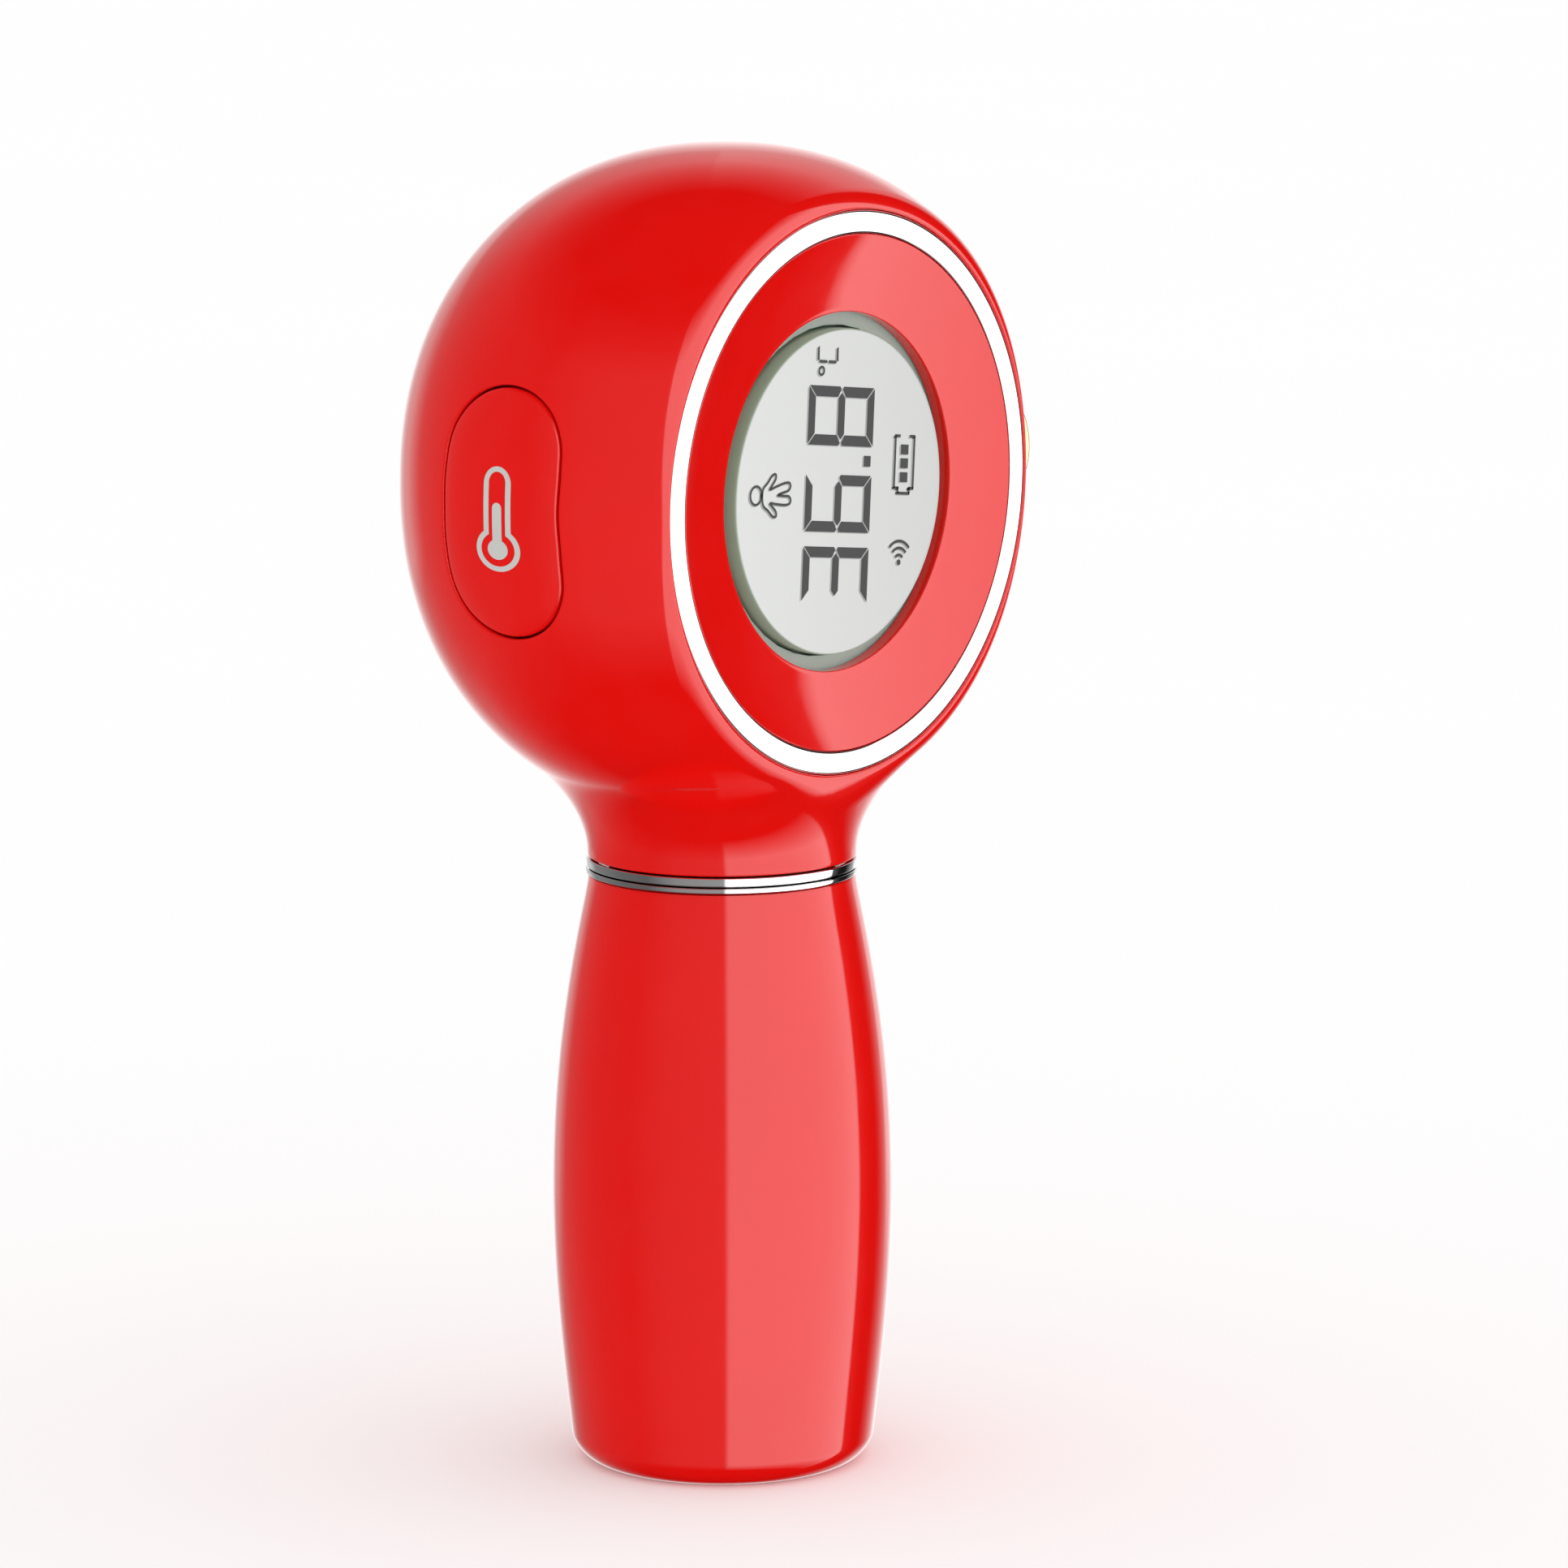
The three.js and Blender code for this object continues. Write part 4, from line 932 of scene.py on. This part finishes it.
def nose_tip_ring():
    """A ring that flares a little towards the tip and is cut back at its bore."""
    bore = NOSE_BORE_R + 0.1
    return turned("x", soft([
        [bore, TIP_RING_X], [NOSE_R + 0.1, TIP_RING_X], [NOSE_R + 0.3, NOSE_END_X - 0.4],
        [NOSE_R - 0.1, NOSE_END_X], [bore, NOSE_END_X - 0.6],
    ], [0.05, 0.15, 0.2, 0.2, 0.15], 5))


def sensor_horn():
    """The horn flares from its throat to its mouth as a curve that is steepest at the mouth."""
    mouth_x, outer_r = NOSE_END_X - 0.8, HORN_MOUTH_R + 0.4
    flare = bezier(24, [HORN_THROAT_R, HORN_THROAT_X], [HORN_THROAT_R + 0.2, 36.5],
                   [HORN_MOUTH_R - 1.3, 40.0], [HORN_MOUTH_R, mouth_x])
    return turned("x", np.vstack([flare, [[outer_r, mouth_x], [outer_r, HORN_THROAT_X]]]))


# ---- Neck rings, handle and carrier -------------------------------------------------------


def neck_ring(inner, outer, low, high):
    """A ring turned from a rectangle whose outer edges are rounded."""
    return turned("z", soft([[inner, low], [outer, low], [outer, high], [inner, high]],
                            [0.05, 0.2, 0.2, 0.05], 6), 256)


def barrel(wall, low, steps):
    """The handle's side from foot to top: two Bezier curves that meet at the belly."""
    top, belly, foot = (r - wall for r in (HANDLE_TOP_R, HANDLE_BELLY_R, HANDLE_FOOT_R))
    lower = bezier(steps, [foot, low], [foot + 0.95, low + (BELLY_HEIGHT - low) * 0.31],
                   [belly, BELLY_HEIGHT - 10], [belly, BELLY_HEIGHT])
    rise = HANDLE_LENGTH - BELLY_HEIGHT
    upper = bezier(steps, [belly, BELLY_HEIGHT], [belly, BELLY_HEIGHT + 0.56 * rise],
                   [top, HANDLE_LENGTH - 0.068 * rise], [top, HANDLE_LENGTH])
    return np.vstack([lower, upper[1:]])


def handle_sleeve():
    """The barrel, closed below: the foot's round, the outer side, the lip, the inner side and
    the floor, turned round the handle's axis."""
    foot, fillet = HANDLE_FOOT_R, FOOT_FILLET
    k = fillet * 0.45
    edge = bezier(16, [foot - fillet, 0], [foot - fillet + k, 0], [foot - 0.12 * k, fillet - k],
                  [foot, fillet])
    outer = barrel(0, fillet, 36)[1:]
    outer[-1, 1] -= 0.15
    lip = [[HANDLE_TOP_R - 0.04, HANDLE_LENGTH - 0.04], [HANDLE_TOP_R - 0.15, HANDLE_LENGTH],
           [HANDLE_TOP_R - HANDLE_WALL + 0.15, HANDLE_LENGTH]]
    inner = barrel(HANDLE_WALL, HANDLE_FLOOR + fillet, 20)[::-1]
    inner[0, 1] -= 0.15
    bottom = [[foot - HANDLE_WALL - 1.2, HANDLE_FLOOR], [0, HANDLE_FLOOR]]
    return turned("z", np.vstack([[[0, 0], [7, 0]], edge, outer, lip, inner, bottom]), 192)


def section(count=240):
    """The carrier's section through its pocket, by X and Y: a half circle whose straight side
    is hollowed by the two cells' channels."""
    back = CARRIER_R * spokes(np.linspace(0, np.pi, 100))
    bend = np.linspace(-np.pi, -2 * np.pi, 50)
    scoops = [CHANNEL_R * spokes(bend) + [x, 0] for x in (-CELL_X, CELL_X)]
    return even(np.vstack([back, *scoops]), count)


def carrier():
    """The pocket's section carried up between two turned ends; the upper end has the seal's
    groove."""
    outline = section()
    rings = []
    for share_of, z in ((0, POCKET_END_Z - 0.5), (1, POCKET_END_Z - 0.5), (1, 20), (1, 40),
                        (1, PLUG_END_Z + 0.5), (0, PLUG_END_Z + 0.5)):
        middle = np.array([0, 9.0])
        flat = middle + share_of * (outline - middle)
        rings.append(np.column_stack([flat, np.full(len(flat), float(z))]))
    foot = turned("z", soft([[0, CARRIER_END_Z], [CARRIER_R, CARRIER_END_Z],
                             [CARRIER_R, POCKET_END_Z], [0, POCKET_END_Z]],
                            [0, 0.4, 0.15, 0], 4, closed=False))
    plug = turned("z", soft([
        [0, PLUG_END_Z], [CARRIER_R, PLUG_END_Z], [CARRIER_R, SEAL_Z - GROOVE_HALF],
        [GROOVE_R, SEAL_Z - GROOVE_HALF], [GROOVE_R, SEAL_Z + GROOVE_HALF],
        [CARRIER_R, SEAL_Z + GROOVE_HALF],
        [CARRIER_R, PLUG_TOP_Z], [0, PLUG_TOP_Z],
    ], [0, 0.15, 0.1, 0.1, 0.1, 0.1, 0.4, 0], 4, closed=False))
    return joined(closed_grid(rings), foot, plug)


def seal():
    """A ring of wire: a small circle carried round a large one."""
    return turned("z", ellipse([SEAL_R, SEAL_Z], SEAL_WIRE_R, SEAL_WIRE_R, 24))


def cell(side, up):
    """A cell with its rolled shoulders, its sleeve's folded edge and its nub."""
    nub = CELL_LENGTH - 0.8
    profile = soft([
        [0, 0.15], [3.2, 0.15], [3.3, 0], [4.9, 0], [CELL_R, 0.35], [CELL_R, nub - 0.35],
        [4.8, nub], [3.9, nub - 0.2], [2.6, nub - 0.2], [1.9, nub], [1.9, CELL_LENGTH],
        [0, CELL_LENGTH],
    ], [0, 0.1, 0.1, 0.2, 0.2, 0.2, 0.2, 0.2, 0.2, 0.1, 0.3, 0], 4, closed=False)
    if not up:
        profile[:, 1] *= -1
    foot = PLUG_END_Z - CONTACT_ROOM - CELL_LENGTH
    if not up:
        foot = POCKET_END_Z + CONTACT_ROOM + CELL_LENGTH
    points, triangles = turned("z", profile, 96)
    return points + [side * CELL_X, 0, foot], triangles


# ---- Finishes -----------------------------------------------------------------------------


class Wire:
    """A node's output that takes part in Python arithmetic. Sums of numbers use Math nodes,
    and node() makes any other node."""

    def __init__(self, tree, socket=None):
        self.tree = tree
        self.socket = socket

    def node(self, kind, settings=(), inputs=(), output=0):
        """A node with its settings, then the values or links of its sockets."""
        made = self.tree.nodes.new(kind)
        for key, value in dict(settings).items():
            if key == "stops":
                ramp_stops(made.color_ramp, value)
            else:
                setattr(made, key, value)
        for key, value in dict(inputs).items():
            if isinstance(value, Wire):
                self.tree.links.new(value.socket, made.inputs[key])
            else:
                made.inputs[key].default_value = value
        return Wire(self.tree, made.outputs[output] if len(made.outputs) else None)

    def math(self, operation, *values):
        """A Math node on values or links."""
        return self.node("ShaderNodeMath", {"operation": operation}, dict(enumerate(values)))

    def __add__(self, other):
        return self.math("ADD", self, other)

    def __radd__(self, other):
        return self.math("ADD", other, self)

    def __sub__(self, other):
        return self.math("SUBTRACT", self, other)

    def __rsub__(self, other):
        return self.math("SUBTRACT", other, self)

    def __mul__(self, other):
        return self.math("MULTIPLY", self, other)

    def __rmul__(self, other):
        return self.math("MULTIPLY", other, self)

    def __neg__(self):
        return self * -1.0

    def __gt__(self, other):
        return self.math("GREATER_THAN", self, other)

    def __lt__(self, other):
        return self.math("LESS_THAN", self, other)

    def between(self, low, high):
        """From 0 at low to 1 at high, held at both."""
        return self.node("ShaderNodeMapRange", {"clamp": True},
                         {"Value": self, "From Min": low, "From Max": high})


def ramp_stops(ramp, stops):
    """Sets a ramp's stops, each a place and a grey or a colour."""
    while len(ramp.elements) < len(stops):
        ramp.elements.new(0.5)
    for element, (place, value) in zip(ramp.elements, stops):
        element.position = place
        shade = (value,) * 3 if isinstance(value, (int, float)) else tuple(value)
        element.color = (*shade, 1)


def coordinates(wire):
    """The object's X, Y and Z, in metres."""
    place = wire.node("ShaderNodeTexCoord", output="Object")
    return (wire.node("ShaderNodeSeparateXYZ", {}, {"Vector": place}, output=k)
            for k in range(3))


def noise(wire, scale, detail=2.0):
    """Cloudy noise from 0 to 1, with scale cycles to a metre."""
    place = wire.node("ShaderNodeTexCoord", output="Object")
    return wire.node("ShaderNodeTexNoise", {}, {"Vector": place, "Scale": scale,
                                                "Detail": detail}, output="Fac")


def blend_colour(wire, factor, first, second):
    """The first colour where the factor is 0, and the second where it is 1."""
    def whole(value):
        return value if isinstance(value, Wire) else (*value, 1)
    return wire.node("ShaderNodeMix", {"data_type": "RGBA"},
                     {"Factor": factor, 6: whole(first), 7: whole(second)}, output=2)


def deepened(wire, factor, base, share_of):
    """A colour that goes towards a share of itself."""
    return blend_colour(wire, factor, base, tuple(v * share_of for v in base))


def finish(name, build):
    """A material whose shader takes the sockets that build gives, or its constants."""
    material = bpy.data.materials.new(name)
    material.use_nodes = True
    tree = material.node_tree
    tree.nodes.clear()
    wire = Wire(tree)
    values = build(wire)
    bump = values.pop("bump", None)
    if bump:
        height, distance = bump
        values["Normal"] = wire.node("ShaderNodeBump", {}, {
            "Height": height, "Distance": distance, "Strength": 1.0}, output="Normal")
    shader = wire.node("ShaderNodeBsdfPrincipled", {}, values)
    wire.node("ShaderNodeOutputMaterial", {}, {"Surface": shader})
    return material


def glossy_shell(wire):
    """Moulded gloss plastic: a faint drift of depth in the colour, a slight orange peel and
    a wiped, very finely marked surface."""
    settings = finishes()
    drift = noise(wire, 45.0, 2.0)
    wiped = noise(wire, 260.0, 3.0)
    peel = noise(wire, 900.0, 2.0)
    rough = settings.shell_roughness
    return {
        "Base Color": deepened(wire, drift, tuple(settings.shell), 0.9),
        "Roughness": (rough - 0.03) + wiped.between(0.35, 0.75) * 0.06,
        "IOR": 1.5,
        "Coat Weight": settings.shell_coat,
        "Coat Roughness": 0.02,
        "bump": (peel, 0.0000015),
    }


def polished(colour_name, roughness, fine=1400.0):
    """Bright plated metal with hairline marks round its roughness."""
    def build(wire):
        marks = noise(wire, fine, 3.0)
        haze = noise(wire, 120.0, 2.0)
        return {
            "Base Color": deepened(wire, haze, tuple(getattr(finishes(), colour_name)), 0.95),
            "Metallic": 1.0,
            "Roughness": roughness * 0.6 + marks.between(0.4, 0.8) * (roughness * 0.7),
            "bump": (haze, 0.000002),
        }
    return build


def display_face(wire):
    """The window: its face, darkened towards +X by a painted reflection, and a darker side
    below the rounded edge. Distance from the display's axis, in the object's X and Z, tells
    the two apart."""
    settings = finishes()
    x, y, z = coordinates(wire)
    up = z - HEAD_Z * MM
    far = wire.math("SQRT", x * x + up * up)
    side = far.between((WINDOW_R - 0.25) * MM, (WINDOW_R - 0.05) * MM)
    grain = noise(wire, 2600.0)
    # Painted reflection: the face is painted darker from -X to +X, standing in for the studio's
    # reflection across the window.
    across = x.between(-0.017, 0.017)
    face = tuple(settings.face)
    tone = deepened(wire, across, face, 0.86)
    tone = blend_colour(wire, grain * 0.12, tone, tuple(v * 0.9 for v in face))
    return {
        "Base Color": blend_colour(wire, side, tone, tuple(settings.face_side)),
        "Roughness": 0.2 + grain * 0.06,
        "Coat Weight": 0.25,
        "Coat Roughness": 0.05,
    }


def plain(base, roughness, metallic=0.0, grain=700.0, depth=0.000006, variation=0.12):
    """Moulded or pressed stock: a mottled tone, an uneven roughness and a fine grain."""
    def build(wire):
        mottle = noise(wire, grain * 0.12, 3.0)
        fine = noise(wire, grain, 3.0)
        return {
            "Base Color": deepened(wire, mottle, base, 1 - variation),
            "Metallic": metallic,
            "Roughness": (roughness - 0.05) + fine * 0.1,
            "bump": (fine, depth),
        }
    return build


def circuit_board(wire):
    """Solder mask over copper tracks: a brick pattern of thin lines shows through."""
    place = wire.node("ShaderNodeTexCoord", output="Object")
    turned_place = wire.node("ShaderNodeMapping", {}, {
        "Vector": place, "Rotation": (math.radians(90), 0.0, 0.0)})
    tracks = wire.node("ShaderNodeTexBrick", {}, {
        "Vector": turned_place, "Scale": 420.0, "Mortar Size": 0.06, "Mortar Smooth": 0.3,
    }, output="Fac")
    return {
        "Base Color": blend_colour(wire, tracks, (0.012, 0.105, 0.042), (0.03, 0.2, 0.08)),
        "Roughness": 0.3 + noise(wire, 900.0) * 0.15,
        "bump": (tracks, 0.00002),
    }


def cell_sleeve(wire):
    """A cell's printed sleeve with a pale band at one end, and bare metal at both ends,
    told apart by height."""
    x, y, z = coordinates(wire)
    off = wire.math("ABSOLUTE", x) - CELL_X * MM
    far = wire.math("SQRT", off * off + y * y)
    sleeve = far.between(4.6 * MM, 4.8 * MM)
    band = (z > 0.05) * (z < 0.0535)
    streak = noise(wire, 300.0, 2.0)
    printed = deepened(wire, streak, tuple(finishes().cell), 0.8)
    printed = blend_colour(wire, band, printed, (0.6, 0.62, 0.63))
    return {
        "Base Color": blend_colour(wire, sleeve, (0.62, 0.62, 0.6), printed),
        "Metallic": 1 - sleeve,
        "Roughness": 0.26 + streak * 0.12,
        "bump": (streak, 0.000004),
    }


def floor_paper(wire):
    """White acrylic, lit a little from below."""
    tone = tuple(bpy.context.scene.thermometer_studio.floor)
    cloud = noise(wire, 6.0, 2.0)
    return {
        "Base Color": deepened(wire, cloud, tone, 0.99),
        "Roughness": 0.9,
        "Specular IOR Level": 0.0,
        "Emission Color": (1.0, 1.0, 1.0, 1.0),
        "Emission Strength": 0.14,
    }


FINISHES = {}


def material(name):
    """The finish of that name, made once."""
    settings = finishes()
    builds = {
        "shell_red": glossy_shell,
        "trim_chrome": polished("chrome", 0.035),
        "tip_metal": polished("tip", 0.16),
        "key_print": plain(tuple(settings.print), 0.45, grain=2400.0, depth=0.000002),
        "window": display_face,
        "segment": plain(tuple(settings.segment), 0.4, grain=2600.0, depth=0.000001),
        "segment_shade": plain((0.40, 0.41, 0.40), 0.5, grain=2600.0, depth=0.000001),
        "lcd_glass": plain((0.55, 0.6, 0.52), 0.12, depth=0.000001),
        "chassis_grey": plain((0.56, 0.70, 0.63), 0.5),
        "frame_white": plain((0.78, 0.78, 0.76), 0.5),
        "board_green": circuit_board,
        "chip_black": plain((0.018, 0.018, 0.02), 0.45, grain=3000.0),
        "strip_rubber": plain((0.36, 0.13, 0.17), 0.75),
        "steel": plain((0.62, 0.63, 0.65), 0.28, 1.0, grain=1500.0, depth=0.000002),
        "holder_brass": plain((0.74, 0.55, 0.27), 0.3, 1.0, depth=0.000002),
        "filter_glass": plain((0.07, 0.06, 0.04), 0.08, depth=0.000001),
        "flex_amber": plain((0.5, 0.2, 0.03), 0.4),
        "carrier_black": plain((0.028, 0.029, 0.031), 0.5, grain=1100.0, depth=0.00001),
        "seal_black": plain((0.012, 0.012, 0.012), 0.62),
        "cell_wrap": cell_sleeve,
        "lead_red": plain((0.5, 0.02, 0.02), 0.5),
        "lead_black": plain((0.02, 0.02, 0.02), 0.5),
    }
    if name not in FINISHES:
        FINISHES[name] = finish(name, builds[name])
    return FINISHES[name]


# ---- Operators ----------------------------------------------------------------------------


class THERMOMETER_OT_head(bpy.types.Operator):
    """Ball and neck moulding with its three openings"""

    bl_idname = "thermometer.head"
    bl_label = "Head shell"

    def execute(self, context):
        surface, normals = head_shell()
        put("shell_of_head", surface, "shell_red", "head", ["head_shell"], normals=normals)
        return {"FINISHED"}


class THERMOMETER_OT_key(bpy.types.Operator):
    """Press key with its printed sign"""

    bl_idname = "thermometer.key"
    bl_label = "Key"

    def execute(self, context):
        put("key_button", key_cap(), "shell_red", "key", ["key_cap"])
        put("key_sign", key_mark(), "key_print", "key")
        return {"FINISHED"}


class THERMOMETER_OT_display(bpy.types.Operator):
    """Trim ring, dished bezel and window"""

    bl_idname = "thermometer.display"
    bl_label = "Display"

    def execute(self, context):
        put("trim_round_display", trim_ring(), "trim_chrome", "head", ["display_trim_ring"])
        put("bezel_dish", bezel(), "shell_red", "head", ["display_bezel"])
        put("window_puck", window(), "window", "head", ["display_window"])
        return {"FINISHED"}


class THERMOMETER_OT_reading(bpy.types.Operator):
    """Digits and signs on the display, over their faint shade"""

    bl_idname = "thermometer.reading"
    bl_label = "Reading"

    def execute(self, context):
        size = sizes()
        height = size["print_height"]
        put("reading_shade", reading(size, SHADE_SHIFT, -SUNK, height * 0.5),
            "segment_shade", "head")
        put("reading_marks", reading(size, np.zeros(2), -SUNK, height),
            "segment", "head")
        return {"FINISHED"}


class THERMOMETER_OT_nose(bpy.types.Operator):
    """Sensor nose: collar, tip ring and horn"""

    bl_idname = "thermometer.nose"
    bl_label = "Sensor nose"

    def execute(self, context):
        put("collar_of_nose", nose_collar(), "shell_red", "head", ["nose_collar"])
        put("tip_of_nose", nose_tip_ring(), "tip_metal", "head", ["nose_tip_ring"])
        put("horn_of_sensor", sensor_horn(), "trim_chrome", "head", ["sensor_horn"], sharp=50)
        return {"FINISHED"}


class THERMOMETER_OT_rings(bpy.types.Operator):
    """The two bright rings at the neck"""

    bl_idname = "thermometer.rings"
    bl_label = "Neck rings"

    def execute(self, context):
        for name, (body, node, *sizes_of) in RINGS.items():
            put(name, neck_ring(*sizes_of), "trim_chrome", body, [node], lift=0)
        return {"FINISHED"}


class THERMOMETER_OT_handle(bpy.types.Operator):
    """Barrel handle"""

    bl_idname = "thermometer.handle"
    bl_label = "Handle"

    def execute(self, context):
        put("barrel_handle", handle_sleeve(), "shell_red", "handle", ["handle_sleeve"], lift=0)
        return {"FINISHED"}


class THERMOMETER_OT_battery(bpy.types.Operator):
    """Carrier, seal and the two cells"""

    bl_idname = "thermometer.battery"
    bl_label = "Battery carrier"

    def execute(self, context):
        put("carrier_of_cells", carrier(), "carrier_black", "head", ["battery_carrier"], lift=0)
        put("seal_ring", seal(), "seal_black", "head", ["carrier_seal"], lift=0)
        for name, side, up in (("battery_cell_1", -1, True), ("battery_cell_2", 1, False)):
            put(f"sleeved_{name}", cell(side, up), "cell_wrap", "head", [name], lift=0)
        return {"FINISHED"}


class THERMOMETER_OT_inner(bpy.types.Operator):
    """Finishes of the frame's own parts that stay"""

    bl_idname = "thermometer.inner"
    bl_label = "Inner parts"

    def execute(self, context):
        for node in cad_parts.values():
            for slot in node.material_slots:
                name = slot.material.name.split(".")[0]
                slot.material = material(name)
        return {"FINISHED"}


# ---- Studio -------------------------------------------------------------------------------

# The floor's rings and its height in millimetres, the camera's place in metres, and the
# direction it looks in.
FLOOR_RINGS = (0, 60, 600, 6000)
FLOOR_Z = -0.02
CAMERA_PLACE = (-0.66756, -0.54947, 0.22222)
CAMERA_AIM = (0.7659, 0.6205, -0.1684)

# Brightness of the studio that bright surfaces reflect, by degrees of turn round the object.
STUDIO_RING = (
    (-180, 0.5), (-145, 0.28), (-132, 0.2), (-95, 0.12), (-66, 0.1), (-40, 0.24), (2, 0.3),
    (5, 1.85), (106, 1.85), (108, 0.08), (118, 0.0), (142, 0.0), (148, 0.5), (180, 0.6),
)
RING_TOP = 2.0


def studio_light():
    """An even light for the surfaces and the floor. What bright surfaces reflect is a studio
    round the object: a white wall behind, a tall panel on one side, and darker sides. The turn
    is the angle round the object from the viewing side, from -180 to 180 degrees."""
    settings = bpy.context.scene.thermometer_studio
    world = bpy.data.worlds.new("studio")
    world.use_nodes = True
    bpy.context.scene.world = world
    tree = world.node_tree
    tree.nodes.clear()
    wire = Wire(tree)
    way = wire.node("ShaderNodeTexCoord", output="Generated")
    back = -np.array([*CAMERA_AIM[:2], 0.0])
    back /= np.linalg.norm(back)

    def dot(axis):
        return wire.node("ShaderNodeVectorMath", {"operation": "DOT_PRODUCT"},
                         {0: way, 1: axis}, output="Value")

    towards = dot(tuple(back))
    sideways = dot((-back[1], back[0], 0.0))
    height = dot((0.0, 0.0, 1.0))
    round_object = wire.math("ARCTAN2", sideways, towards) * (1 / (2 * math.pi)) + 0.5
    ring = wire.node("ShaderNodeValToRGB", {"stops": [
        (place / 360 + 0.5, shade / RING_TOP) for place, shade in STUDIO_RING
    ]}, {"Fac": round_object}) * RING_TOP
    straight = dot(tuple(-v for v in CAMERA_AIM))
    wall = (-straight).between(0.6, 0.98)
    wall = wall * wall * settings.wall
    level = wire.math("ABSOLUTE", height)
    low = 1 - level.between(0.55, 0.85)
    band = (-straight).between(0.62, 0.86) * (1 - level.between(0.2, 0.36))
    band = band * (1 - sideways.between(0.5, 0.6))
    behind = wire.math("MAXIMUM", wall, band) * (1 - (-sideways).between(0.0, 0.4) * 0.4)
    around = wire.math("MAXIMUM", behind, ring * low + 0.01)
    glossy = wire.node("ShaderNodeLightPath", output="Is Glossy Ray")
    seen = wire.node("ShaderNodeLightPath", output="Is Camera Ray")
    even_light = settings.fill * (0.86 + 0.3 * wire.math("MAXIMUM", sideways, 0.0))
    strength = glossy * around + (1 - glossy) * wire.math("MAXIMUM", even_light, seen)
    light = wire.node("ShaderNodeBackground", {}, {"Color": (1, 1, 1, 1), "Strength": strength})
    wire.node("ShaderNodeOutputWorld", {}, {"Surface": light})


class THERMOMETER_OT_studio(bpy.types.Operator):
    """Floor, light and camera"""

    bl_idname = "thermometer.studio"
    bl_label = "Studio"

    def execute(self, context):
        settings = context.scene.thermometer_studio
        rings = np.array([
            np.insert(r * spokes(turn(96)), 2, FLOOR_Z, axis=1) for r in FLOOR_RINGS
        ])
        mesh = bpy.data.meshes.new("floor")
        points, triangles, _ = welded(rings.reshape(-1, 3), grid_triangles(*rings.shape[:2]))
        mesh.from_pydata((points * MM).tolist(), [], triangles.tolist())
        floor = bpy.data.objects.new("floor", mesh)
        bpy.context.scene.collection.objects.link(floor)
        mesh.materials.append(finish("floor_paper", floor_paper))
        floor.visible_glossy = False
        studio_light()
        data = bpy.data.cameras.new("camera")
        data.sensor_width = 36.0
        data.lens = settings.focal
        data.clip_start = 0.01
        data.clip_end = 50.0
        camera = bpy.data.objects.new("camera", data)
        camera.location = CAMERA_PLACE
        pitch = math.asin(CAMERA_AIM[2])
        heading = math.atan2(-CAMERA_AIM[0], CAMERA_AIM[1])
        camera.rotation_euler = (math.pi / 2 + pitch, 0, heading)
        context.scene.collection.objects.link(camera)
        context.scene.camera = camera
        context.scene.view_settings.view_transform = "Standard"
        return {"FINISHED"}


PIECES = ("head", "key", "display", "reading", "nose", "rings", "handle", "battery", "inner",
          "studio")


class THERMOMETER_PT_panel(bpy.types.Panel):
    """Lists the pieces, their sizes and their finishes"""

    bl_label = "Thermometer"
    bl_idname = "THERMOMETER_PT_panel"
    bl_space_type = "VIEW_3D"
    bl_region_type = "UI"
    bl_category = "Thermometer"

    def draw(self, context):
        for name in PIECES:
            self.layout.operator(f"thermometer.{name}")
        for group in ("sizes", "finishes", "studio"):
            box = self.layout.box()
            settings = getattr(context.scene, f"thermometer_{group}")
            for key in type(settings).__annotations__:
                box.prop(settings, key)


CLASSES = (
    ThermometerSizes, ThermometerFinishes, ThermometerStudio,
    THERMOMETER_OT_head, THERMOMETER_OT_key, THERMOMETER_OT_display, THERMOMETER_OT_reading,
    THERMOMETER_OT_nose, THERMOMETER_OT_rings, THERMOMETER_OT_handle, THERMOMETER_OT_battery,
    THERMOMETER_OT_inner, THERMOMETER_OT_studio, THERMOMETER_PT_panel,
)


def register():
    """Adds the settings and the operators."""
    for cls in CLASSES:
        bpy.utils.register_class(cls)
    scene = bpy.types.Scene
    scene.thermometer_sizes = bpy.props.PointerProperty(type=ThermometerSizes)
    scene.thermometer_finishes = bpy.props.PointerProperty(type=ThermometerFinishes)
    scene.thermometer_studio = bpy.props.PointerProperty(type=ThermometerStudio)


def unregister():
    """Takes away what register() adds."""
    for name in ("sizes", "finishes", "studio"):
        delattr(bpy.types.Scene, f"thermometer_{name}")
    for cls in reversed(CLASSES):
        bpy.utils.unregister_class(cls)


def main():
    """Makes every piece."""
    register()
    for name in PIECES:
        getattr(bpy.ops.thermometer, name)()


if __name__ == "__main__":
    main()
